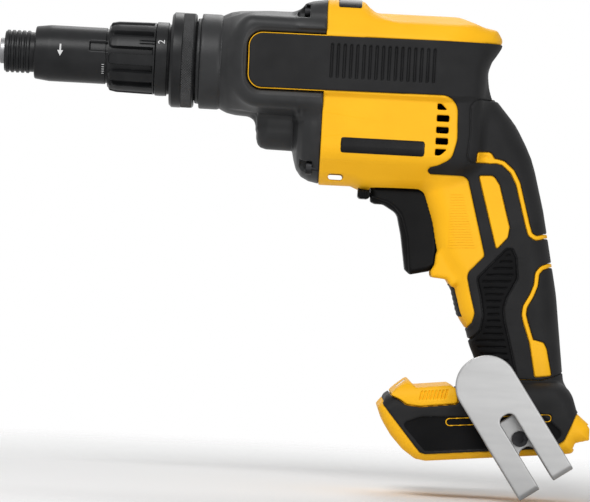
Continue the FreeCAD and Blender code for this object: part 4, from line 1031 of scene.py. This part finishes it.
def makeTrigger():
    lines = sampleLines(*lever["block"], lever["step"])
    x, y, z = lines
    front = sideField(leverCrease, x, z)
    crease = groove(np.abs(front - lever["creaseAt"]), lever["creaseHalf"], lever["crease"])
    half = lever["half"] - lever["faceDrop"] * ease(front, lever["faceSoft"]) - crease
    field = roundMax(sideField(triggerSide, x, z), np.abs(y)[None, :, None] - half, lever["edge"])
    stem = np.hypot(y[:, None], z[None, :] - lever["stemZ"])[None] - lever["stemR"]
    field = np.minimum(field, np.maximum(span(x, *lever["stemX"])[:, None, None], stem))
    piece = fieldPiece("trigger_lever", field, lines, lever["step"], finish["blackPlastic"])
    place(piece, "black_plastic", "trigger", body="trigger")


button = dict(
    step=0.35 * coarse, corner=1.8, innerHalf=9.0, sideTop=-64.9, ribPitch=1.7, ribHalf=0.35, ribLength=3.0,
    edge=0.8,
)


def makeButton():
    low, high = (np.array(v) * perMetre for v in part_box("reversing_button"))
    lines = sampleLines(low - 1, high + 1, button["step"])
    x, y, z = lines
    across = np.abs(y)[None, :, None]
    width = span(x, low[0], high[0])[:, None]
    inner = roundMax(width, span(z, low[2], high[2])[None, :], button["corner"])[:, None, :]
    inner = np.maximum(inner, across - button["innerHalf"])
    outer = roundMax(width, span(z, low[2], button["sideTop"])[None, :], button["corner"])[:, None, :]
    wave = button["ribHalf"] * (1 + np.cos(x * 2 * math.pi / button["ribPitch"]))[:, None, None]
    ribs = wave * (across > high[1] - button["ribLength"])
    field = np.minimum(roundMax(outer, across - high[1] + ribs, button["edge"]), inner)
    piece = fieldPiece("reversing_button_bar", field, lines, button["step"], finish["blackPlastic"])
    place(piece, "black_plastic", "reversing_button", body="button")


lamp = dict(
    step=0.42 * coarse, top=45.0, edge=1.0, ribs=8, firstU=-26.5, pitch=1.9, lean=0.35, half=0.45, depth=1.0,
    lowW=33.6, highW=38.4, lensU=-39.2, lensW=39.5, lensSlope=math.atan2(5.1, 7.2), lensHalf=9.15,
    lensRun=(1.05, 7.35), lensDepth=1.7, block=((216, -36, -180), (264, 36, -158)),
)


def makeLampCap():
    lines = sampleLines(*lamp["block"], lamp["step"])
    x, y, z = lines
    across = np.abs(y)[None, :, None]
    u, w = footAxes(x, z)
    section = roundMax(across - form["footHalf"], w - lamp["top"], form["footShoulder"])
    phase = (u - lamp["firstU"] - lamp["lean"] * (w - lamp["lowW"])) / lamp["pitch"]
    phase = np.clip(phase, -0.5, lamp["ribs"] - 0.5)
    near = np.abs(phase - np.round(phase)) * lamp["pitch"]
    ribs = groove(np.maximum(near - lamp["half"], span(w, lamp["lowW"], lamp["highW"])), 0, lamp["depth"])
    du, dw = u - lamp["lensU"], w - lamp["lensW"]
    run = du * math.cos(lamp["lensSlope"]) + dw * math.sin(lamp["lensSlope"])
    rise = dw * math.cos(lamp["lensSlope"]) - du * math.sin(lamp["lensSlope"])
    window = overlap(across - lamp["lensHalf"], span(run, *lamp["lensRun"]), -lamp["lensDepth"] - rise)
    field = np.maximum(roundMax(footField(lampSide, x, z), section + ribs, lamp["edge"]), -window)
    piece = fieldPiece("lamp_cap_shell", field, lines, lamp["step"], finish["yellowShell"])
    place(piece, "yellow_shell", "lamp_cap")


makeTrigger()
makeButton()
makeLampCap()
print("trigger, button and lamp cap made")

# Nose, from the tip back
tip = dict(bore=5.4, wall=1.5, length=14.0)
nose = dict(
    mouth=2.6, ribR=11.5, ribDepth=0.75, ribStart=3.2, ribPitch=2.75, ribs=5, frontX=18.9, frontR=14.1,
    shoulder=8.0, back=57.4, tailStep=0.6, tail=71.8, bore=13.26, boreEnd=45.0, seatLap=0.5,
    notchAt=18.0, notchHalf=2.5, notchStart=48.8, notchDepth=1.5, notchSoft=0.5, skin=1.0,
)
ribShape = [(0.0, 0.0, 0.25), (0.4, nose["ribDepth"], 0.45), (1.7, nose["ribDepth"], 0.45), (2.1, 0.0, 0.25)]
collar = dict(
    play=0.3, pads=12, phase=24.0, gap=3.8, padStart=59.2, padEnd=82.7, floor=16.6, corner=2.4, padSoft=0.5,
    endSoft=0.4, slotStart=75.8, slotHalf=0.85, slotLine=0.2, slotDepth=0.5, skin=1.0,
)
tipOut = tip["bore"] + tip["wall"]
ringFront = collarBack + 0.3
sleeveFront, sleeveBack = cadSpan("index_sleeve", 0)


# Key notch in the rear edge of the nosepiece
def notched(x, r, t):
    along = (t - math.radians(nose["notchAt"]) + math.pi) % (2 * math.pi) - math.pi
    inside = np.maximum(np.abs(along) * noseR - nose["notchHalf"], nose["notchStart"] - x)
    return r - nose["notchDepth"] * ease(inside, nose["notchSoft"]) * (r > noseR - nose["skin"])


# Flutes between the collar's pads, and two fine lines on the first pad
def fluted(x, r, t):
    pitch = 2 * math.pi / collar["pads"]
    turns = (t - math.radians(collar["phase"])) / pitch
    arc = (turns - np.round(turns)) * pitch * collarR
    half = pitch * collarR / 2 - collar["gap"] / 2
    pad = roundMax(np.abs(arc) - half, span(x, collar["padStart"], far), collar["corner"])
    sunk = ease(-pad, collar["padSoft"]) * ease(x - collar["padEnd"], collar["endSoft"])
    low = np.minimum(r, collar["floor"])
    r = np.where(r > collar["floor"], r + (low - r) * sunk, r)
    first = np.round(turns) % collar["pads"] == 0
    line = np.abs(np.abs(arc) - collar["slotHalf"]) - collar["slotLine"]
    line = ease(np.maximum(line, collar["slotStart"] - x), collar["slotLine"])
    return r - collar["slotDepth"] * line * first * (r > collar["floor"] + collar["skin"])


def makeTip():
    bore, back = tip["bore"], tip["length"]
    profile = [(0, bore, 0.2), (0, tipOut, 0.7), (back, tipOut, 0.2), (back, bore, 0.2)]
    place(turnedPiece("tip_sleeve", profile, finish["tipSteel"]), "steel", "nose_tip", body="nose")


def makeCover():
    low = nose["ribR"] - nose["ribDepth"]
    profile = [(nose["mouth"], tipOut, 0.2), (nose["mouth"], low, 0.4)]
    for k in range(nose["ribs"]):
        start = nose["ribStart"] + k * nose["ribPitch"]
        profile += [(start + x, low + up, radius) for x, up, radius in ribShape]
    front, back, tail, boreEnd = nose["frontX"], nose["back"], nose["tail"], nose["boreEnd"]
    tailR, seatR = noseR - nose["tailStep"], tipOut - nose["seatLap"]
    profile += [
        (front, low, 0.2), (front, nose["frontR"], 0.9), (front + nose["shoulder"], noseR, 12), (back, noseR, 0.5),
        (back, tailR, 0.1), (tail, tailR, 0.2), (tail, nose["bore"], 0.2), (boreEnd, nose["bore"], 0),
        (boreEnd, seatR, 0), (tip["length"], seatR, 0), (tip["length"], tipOut, 0),
    ]
    piece = turnedPiece("nose_cover", profile, finish["noseMoulding"], segments=180, longest=0.8, change=notched)
    place(piece, "nose_black", "nosepiece", body="nose")


def makeCollar():
    front, back, bore = collarFront, collarBack, noseR + collar["play"]
    profile = [
        (front, bore, 0.2), (front, 17.4, 0.8), (front + 1.6, 18.4, 1.2), (front + 5, collarR - 0.3, 4),
        (front + 20, collarR, 0), (back, collarR, 0.4), (back, 13.5, 0.2), (back - 4, 13.5, 0), (back - 4, bore, 0),
    ]
    piece = turnedPiece("collar_fluted", profile, finish["noseMoulding"], segments=432, longest=0.6, change=fluted)
    place(piece, "nose_black", "depth_collar", body="collar")


def makeIndexRing():
    lip = lockFront - 0.3
    profile = [
        (sleeveFront, 11.1, 0.2), (sleeveFront, 13.2, 0.3), (ringFront, 13.2, 0), (ringFront, ringR, 0.5),
        (sleeveBack, ringR, 0.6), (sleeveBack, 19.0, 0), (lip, 18.8, 0.2), (lip, 14.8, 0.2), (sleeveBack, 14.8, 0),
        (sleeveBack, 11.1, 0.2),
    ]
    piece = turnedPiece("index_ring", profile, finish["noseMoulding"])
    place(piece, "nose_black", "index_sleeve", body="nose_base")


def makeLockRing():
    floor = lockFront + 1.6
    profile = [
        (lockFront, 11.6, 0.2), (lockFront, lockR - 1.5, 0.4), (lockFront + 1.4, lockR, 0.8),
        (lockFront + 6.0, lockR, 0.3), (lockFront + 6.5, lockR - 0.5, 0.2), (lockBack - 1.3, lockR - 0.5, 0.2),
        (lockBack - 0.9, lockR - 0.1, 0.2), (lockBack, lockR - 1.1, 0.4), (lockBack, 21.6, 0.2), (floor, 21.6, 0),
        (floor, 11.6, 0),
    ]
    piece = turnedPiece("lock_ring_body", profile, finish["noseMoulding"], segments=180)
    place(piece, "nose_black", "lock_ring", body="lock")


makeTip()
makeCover()
makeCollar()
makeIndexRing()
makeLockRing()


# Stands a small mesh on each of a number of points round the spindle, its Z pointing out
def stoodRound(tree, count, x, y, z, radius, stud):
    outwards = fed(tree, "ShaderNodeCombineXYZ", {"Y": y, "Z": z})[0]
    high = {"Y": summed(tree, "MULTIPLY", y, radius), "Z": summed(tree, "MULTIPLY", z, radius)}
    spot = fed(tree, "ShaderNodeCombineXYZ", {"X": x, **high})[0]
    points = fed(tree, "GeometryNodePoints", {"Count": count, "Position": spot})[0]
    lean = fed(tree, "FunctionNodeAlignRotationToVector", {"Vector": outwards}, axis="Z", pivot_axis="X")[0]
    return fed(tree, "GeometryNodeInstanceOnPoints", {"Points": points, "Instance": stud, "Rotation": lean})[0]


# Diamond knurl: small pyramids in staggered rows round the lock ring, in a lighter, glossier copy of the ring's dark
# moulding: painted sheen
knurl = dict(
    Count=112, Rows=8, Pitch=0.00068, Radius=(lockR - 0.55) * mm, Front=(lockFront + 6.8) * mm, Height=0.0005,
    Base=0.00076,
)


def knurlTree():
    tree, given = newTree("knurl", [("Count", "Int"), ("Rows", "Int")] + floats(
        "Pitch", "Radius", "Front", "Height", "Base"))
    index = tree.nodes.new("GeometryNodeInputIndex").outputs[0]
    row = summed(tree, "FLOOR", summed(tree, "DIVIDE", index, given["Count"]))
    stagger = summed(tree, "MULTIPLY", summed(tree, "MODULO", row, 2.0), 0.5)
    share = summed(tree, "DIVIDE", summed(tree, "ADD", index, stagger), given["Count"])
    turn = summed(tree, "MULTIPLY", share, 2 * math.pi)
    y, z = summed(tree, "COSINE", turn), summed(tree, "SINE", turn)
    x = summed(tree, "ADD", given["Front"], summed(tree, "MULTIPLY", row, given["Pitch"]))
    total = summed(tree, "MULTIPLY", given["Count"], given["Rows"])
    size = {"Radius Bottom": given["Base"], "Depth": given["Height"]}
    cone = fed(tree, "GeometryNodeMeshCone", {"Vertices": 4, **size})[0]
    endTree(tree, stoodRound(tree, total, x, y, z, given["Radius"], cone), finish["knurlSteel"])
    return tree


place(grownPiece("lock_ring_knurl", knurlTree(), knurl), "nose_black", body="lock")

# Scale marks on the nose: short white strokes side by side round its rear edge
marks = dict(
    Count=5, First=math.radians(-20.0), Step=math.radians(-5.0), Radius=noseR * mm, Place=0.0562, Length=0.0013,
    Width=0.00032, Thick=0.00012,
)


def markTree():
    tree, given = newTree("scale marks", [("Count", "Int")] + floats(
        "First", "Step", "Radius", "Place", "Length", "Width", "Thick"))
    index = tree.nodes.new("GeometryNodeInputIndex").outputs[0]
    turn = summed(tree, "ADD", given["First"], summed(tree, "MULTIPLY", index, given["Step"]))
    y, z = summed(tree, "MULTIPLY", summed(tree, "COSINE", turn), -1.0), summed(tree, "SINE", turn)
    size = fed(tree, "ShaderNodeCombineXYZ", {"X": given["Length"], "Y": given["Width"], "Z": given["Thick"]})[0]
    stroke = fed(tree, "GeometryNodeMeshCube", {"Size": size})[0]
    strokes = stoodRound(tree, given["Count"], given["Place"], y, z, given["Radius"], stroke)
    endTree(tree, strokes, finish["whitePrint"])
    return tree


place(grownPiece("scale_marks", markTree(), marks), None, body="nose")

# Printed arrow on the nose and numbers on the index ring, wrapped round
arrow = dict(x=33.0, top=18.0, end=-6.5, head=3.0, half=0.42, parts=4, sunk=-0.2, raised=0.08, gap=0.02)
arrowHead = [(-0.01, 1.6), (-1.0, 1.07), (-2.0, 0.53)]
arrowTip = 0.02
digits = dict(text="234", first=25.0, apart=120.0, size=5.2, raised=0.08, gap=0.03)


# Bends a flat mesh, with v along the spindle and u round it
def wrapped(mesh, radius, x, turn):
    flat = np.empty(len(mesh.vertices) * 3, np.float32)
    mesh.vertices.foreach_get("co", flat)
    u, v, n = flat.reshape(-1, 3).T
    points = onRing(x - v, radius + n, math.radians(turn) + u / radius) * mm
    mesh.vertices.foreach_set("co", points.astype(np.float32).ravel())
    mesh.update()
    return mesh


def flatMesh(curve):
    holder = bpy.data.objects.new(curve.name, curve)
    bpy.context.scene.collection.objects.link(holder)
    graph = bpy.context.evaluated_depsgraph_get()
    mesh = bpy.data.meshes.new_from_object(holder.evaluated_get(graph))
    bpy.data.objects.remove(holder)
    return mesh


def makeDigits():
    whole = bmesh.new()
    middle = (ringFront + sleeveBack) / 2
    for k, mark in enumerate(digits["text"]):
        curve = bpy.data.curves.new("digit", "FONT")
        curve.body = mark
        curve.size = digits["size"]
        curve.extrude = digits["raised"]
        curve.align_x = "CENTER"
        curve.align_y = "CENTER"
        turn = digits["first"] + digits["apart"] * k
        whole.from_mesh(wrapped(flatMesh(curve), ringR + digits["gap"], middle, turn))
    mesh = bpy.data.meshes.new("index_digits")
    whole.to_mesh(mesh)
    whole.free()
    piece = addPiece("index_digits", mesh, finish["whitePrint"])
    mesh.shade_flat()
    place(piece, None, body="nose_base")


def makeArrow():
    high, end = (math.radians(arrow[key]) * noseR for key in ("top", "end"))
    neck = end + arrow["head"]
    rows = [(high + (neck - high) * k / arrow["parts"], arrow["half"]) for k in range(arrow["parts"] + 1)]
    rows += [(neck + u, half) for u, half in arrowHead] + [(end, arrowTip)]
    points = []
    for n in (arrow["sunk"], arrow["raised"]):
        for u, half in rows:
            points += [(u, -half, n), (u, half, n)]
    over = 2 * len(rows)
    faces = []
    for a in range(0, over - 2, 2):
        b, c, d = a + 1, a + 3, a + 2
        faces += [(a, b, c, d), (a + over, d + over, c + over, b + over)]
        faces += [(a, d, d + over, a + over), (c, b, b + over, c + over)]
    faces += [(1, 0, over, over + 1), (over - 2, over - 1, 2 * over - 1, 2 * over - 2)]
    mesh = plainMesh("nose_arrow", np.array(points), np.array(faces))
    wrapped(mesh, noseR + arrow["gap"], arrow["x"], 0)
    piece = addPiece("nose_arrow", mesh, finish["whitePrint"])
    turned = bmesh.new()
    turned.from_mesh(mesh)
    bmesh.ops.recalc_face_normals(turned, faces=turned.faces)
    turned.to_mesh(mesh)
    turned.free()
    mesh.shade_flat()
    place(piece, None, body="nose")


makeDigits()
makeArrow()
print("nose made")

# Coil springs of the clutch and the trigger
springs = {
    "clutch_spring": dict(Turns=4.0, Wire=0.0007, body="spindle", joint="spindle_push", travel=0.002),
    "trigger_spring": dict(Turns=5.0, Wire=0.0005, body="trigger", joint="trigger_pull", travel=0.007),
}
springParts = dict(turn=20, wire=8)


# A round rod along each curve
def rodMesh(tree, curve, radius, sides):
    section = fed(tree, "GeometryNodeCurvePrimitiveCircle", {"Resolution": sides, "Radius": radius})[0]
    return fed(tree, "GeometryNodeCurveToMesh", {"Curve": curve, "Profile Curve": section, "Fill Caps": True})[0]


def springTree():
    tree, given = newTree("coil spring", floats("Turns", "Wire", "Coil", "Length") + [("Spot", "Vector")])
    coil = fed(tree, "GeometryNodeCurveSpiral", {
        "Resolution": springParts["turn"], "Rotations": given["Turns"], "Start Radius": given["Coil"],
        "End Radius": given["Coil"], "Height": given["Length"]})[0]
    laid = fed(tree, "GeometryNodeTransform", {
        "Geometry": coil, "Translation": given["Spot"], "Rotation": (0, math.pi / 2, 0)})[0]
    endTree(tree, rodMesh(tree, laid, given["Wire"], springParts["wire"]), finish["steelTurned"])
    return tree


def makeSprings():
    tree = springTree()
    for node, s in springs.items():
        low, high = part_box(node)
        length = high[0] - low[0]
        height = (low[2] + high[2]) / 2
        values = dict(Turns=s["Turns"], Wire=s["Wire"], Coil=(high[2] - low[2]) / 2 - s["Wire"],
                      Length=length - 2 * s["Wire"], Spot=(low[0] + s["Wire"], 0.0, height))
        piece = place(grownPiece(node + "_wire", tree, values), "steel", node, body=s["body"])
        piece.data.shade_smooth()
        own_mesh(piece)


makeSprings()
print("springs made")

# Fine ridges on the web behind the trigger, laid on the housing
ridges = dict(Count=21, Pitch=0.00142, Start=0.2462, Top=-0.0650, Length=0.0068, Grow=0.00038, Thick=0.00022)
ridgeParts = dict(slope=0.054, points=14, away=0.06, ray=0.2, sides=6)


def ridgeTree():
    tree, given = newTree("web ridges", [("Housing", "Object"), ("Side", "Float"), ("Count", "Int")] + floats(
        "Pitch", "Start", "Top", "Length", "Grow", "Thick"))
    ends = {"Start": (0, 0, 0), "End": (1, 0, ridgeParts["slope"])}
    line = fed(tree, "GeometryNodeCurvePrimitiveLine", ends)[0]
    line = fed(tree, "GeometryNodeResampleCurve", {"Curve": line, "Count": ridgeParts["points"]})[0]
    index = tree.nodes.new("GeometryNodeInputIndex").outputs[0]
    away = summed(tree, "MULTIPLY", given["Side"], ridgeParts["away"])
    height = summed(tree, "SUBTRACT", given["Top"], summed(tree, "MULTIPLY", index, given["Pitch"]))
    spot = fed(tree, "ShaderNodeCombineXYZ", {"X": given["Start"], "Y": away, "Z": height})[0]
    points = fed(tree, "GeometryNodePoints", {"Count": given["Count"], "Position": spot})[0]
    reach = summed(tree, "ADD", given["Length"], summed(tree, "MULTIPLY", index, given["Grow"]))
    size = fed(tree, "ShaderNodeCombineXYZ", {"X": reach, "Y": reach, "Z": reach})[0]
    laid = fed(tree, "GeometryNodeInstanceOnPoints", {"Points": points, "Instance": line, "Scale": size})[0]
    laid = fed(tree, "GeometryNodeRealizeInstances", {"Geometry": laid})[0]
    wall = fed(tree, "GeometryNodeObjectInfo", {"Object": given["Housing"]})["Geometry"]
    here = tree.nodes.new("GeometryNodeInputPosition").outputs[0]
    inwards = fed(tree, "ShaderNodeCombineXYZ", {"Y": summed(tree, "MULTIPLY", given["Side"], -1.0)})[0]
    ray = fed(tree, "GeometryNodeRaycast", {
        "Target Geometry": wall, "Source Position": here, "Ray Direction": inwards, "Ray Length": ridgeParts["ray"]})
    missed = fed(tree, "FunctionNodeBooleanMath", {0: ray["Is Hit"]}, operation="NOT")[0]
    laid = fed(tree, "GeometryNodeDeleteGeometry", {"Geometry": laid, "Selection": missed})[0]
    laid = fed(tree, "GeometryNodeSetPosition", {"Geometry": laid, "Position": ray["Hit Position"]})[0]
    endTree(tree, rodMesh(tree, laid, given["Thick"], ridgeParts["sides"]), finish["yellowShell"])
    return tree


webTree = ridgeTree()
for side in (-1, 1):
    values = dict(ridges, Housing=bpy.data.objects["shell_" + sideName(side)], Side=float(side))
    place(grownPiece("web_ridges_" + sideName(side), webTree, values), "yellow_shell")
print("web ridges made")

# Camera, light and floor
view = dict(distance=2.3, centre=(0.1646, -0.0996), roll=3.09, width=0.3186, sensor=36.0, clipEnd=20.0)
cameraData = bpy.data.cameras.new("camera")
cameraData.sensor_width = view["sensor"]
cameraData.lens = view["sensor"] * view["distance"] / view["width"]
cameraData.clip_end = view["clipEnd"]
camera = bpy.data.objects.new("camera", cameraData)
upright = Matrix.Rotation(math.radians(90), 4, "X") @ Matrix.Rotation(math.radians(view["roll"]), 4, "Z")
camera.matrix_world = Matrix.Translation((view["centre"][0], -view["distance"], view["centre"][1])) @ upright
bpy.context.scene.collection.objects.link(camera)
bpy.context.scene.camera = camera
bpy.context.scene.view_settings.view_transform = "Standard"

lights = {
    "key": dict(spot=(-0.25, -1.2, 1.05), size=0.8, power=17),
    "fill": dict(spot=(0.8, -1.6, -0.3), size=1.0, power=11.5),
    "rim": dict(spot=(0.3, 0.9, 0.9), size=0.8, power=5),
}
lightAim = Vector((0.18, 0.0, -0.08))
for name, s in lights.items():
    data = bpy.data.lights.new(name, "AREA")
    data.shape = "DISK"
    data.size = s["size"]
    data.energy = s["power"]
    light = bpy.data.objects.new(name, data)
    light.location = s["spot"]
    light.rotation_euler = (lightAim - Vector(s["spot"])).to_track_quat("-Z", "Y").to_euler()
    bpy.context.scene.collection.objects.link(light)

# A white world, dimmer as a light than as a background or in a mirror
studio = dict(lit=0.34, seen=1.0, colour=(1, 1, 1, 1))
world = bpy.data.worlds.new("studio")
bpy.context.scene.world = world
world.use_nodes = True
worldNodes, worldLinks = world.node_tree.nodes, world.node_tree.links
rays = worldNodes.new("ShaderNodeLightPath").outputs
seen = rays["Is Camera Ray"]
for kind in ("Is Transmission Ray", "Is Glossy Ray"):
    either = worldNodes.new("ShaderNodeMath")
    either.operation = "MAXIMUM"
    worldLinks.new(seen, either.inputs[0])
    worldLinks.new(rays[kind], either.inputs[1])
    seen = either.outputs["Value"]
strength = worldNodes.new("ShaderNodeMapRange")
strength.inputs["To Min"].default_value = studio["lit"]
strength.inputs["To Max"].default_value = studio["seen"]
worldLinks.new(seen, strength.inputs["Value"])
worldNodes["Background"].inputs["Color"].default_value = studio["colour"]
worldLinks.new(strength.outputs["Result"], worldNodes["Background"].inputs["Strength"])

# A pale disc under the tool that fades out towards its rim
floorDisc = dict(rim=0.6, segments=96, fade=(0.2, 0.57), colour=(0.9, 0.9, 0.9, 1), rough=0.9)


def makeFloor():
    centre = (view["centre"][0], 0, cadBox[0][2])
    mesh = bpy.data.meshes.new("floor")
    disc = bmesh.new()
    bmesh.ops.create_circle(disc, cap_ends=True, segments=floorDisc["segments"], radius=floorDisc["rim"])
    disc.to_mesh(mesh)
    disc.free()
    mesh.transform(Matrix.Translation(centre))
    material, nodes, links, shader = newFinish("paleFloor")
    shader.inputs["Base Color"].default_value = floorDisc["colour"]
    shader.inputs["Roughness"].default_value = floorDisc["rough"]
    spot = nodes.new("ShaderNodeTexCoord")
    distance = nodes.new("ShaderNodeVectorMath")
    distance.operation = "DISTANCE"
    distance.inputs[1].default_value = centre
    links.new(spot.outputs["Object"], distance.inputs[0])
    fade = nodes.new("ShaderNodeMapRange")
    fade.inputs["From Min"].default_value, fade.inputs["From Max"].default_value = floorDisc["fade"]
    links.new(distance.outputs["Value"], fade.inputs["Value"])
    clear = nodes.new("ShaderNodeBsdfTransparent")
    mix = nodes.new("ShaderNodeMixShader")
    links.new(fade.outputs["Result"], mix.inputs["Fac"])
    links.new(shader.outputs["BSDF"], mix.inputs[1])
    links.new(clear.outputs["BSDF"], mix.inputs[2])
    links.new(mix.outputs["Shader"], nodes["Material Output"].inputs["Surface"])
    mesh.materials.append(material)
    floor = bpy.data.objects.new("floor", mesh)
    bpy.context.scene.collection.objects.link(floor)


makeFloor()
print("camera, light and floor made")
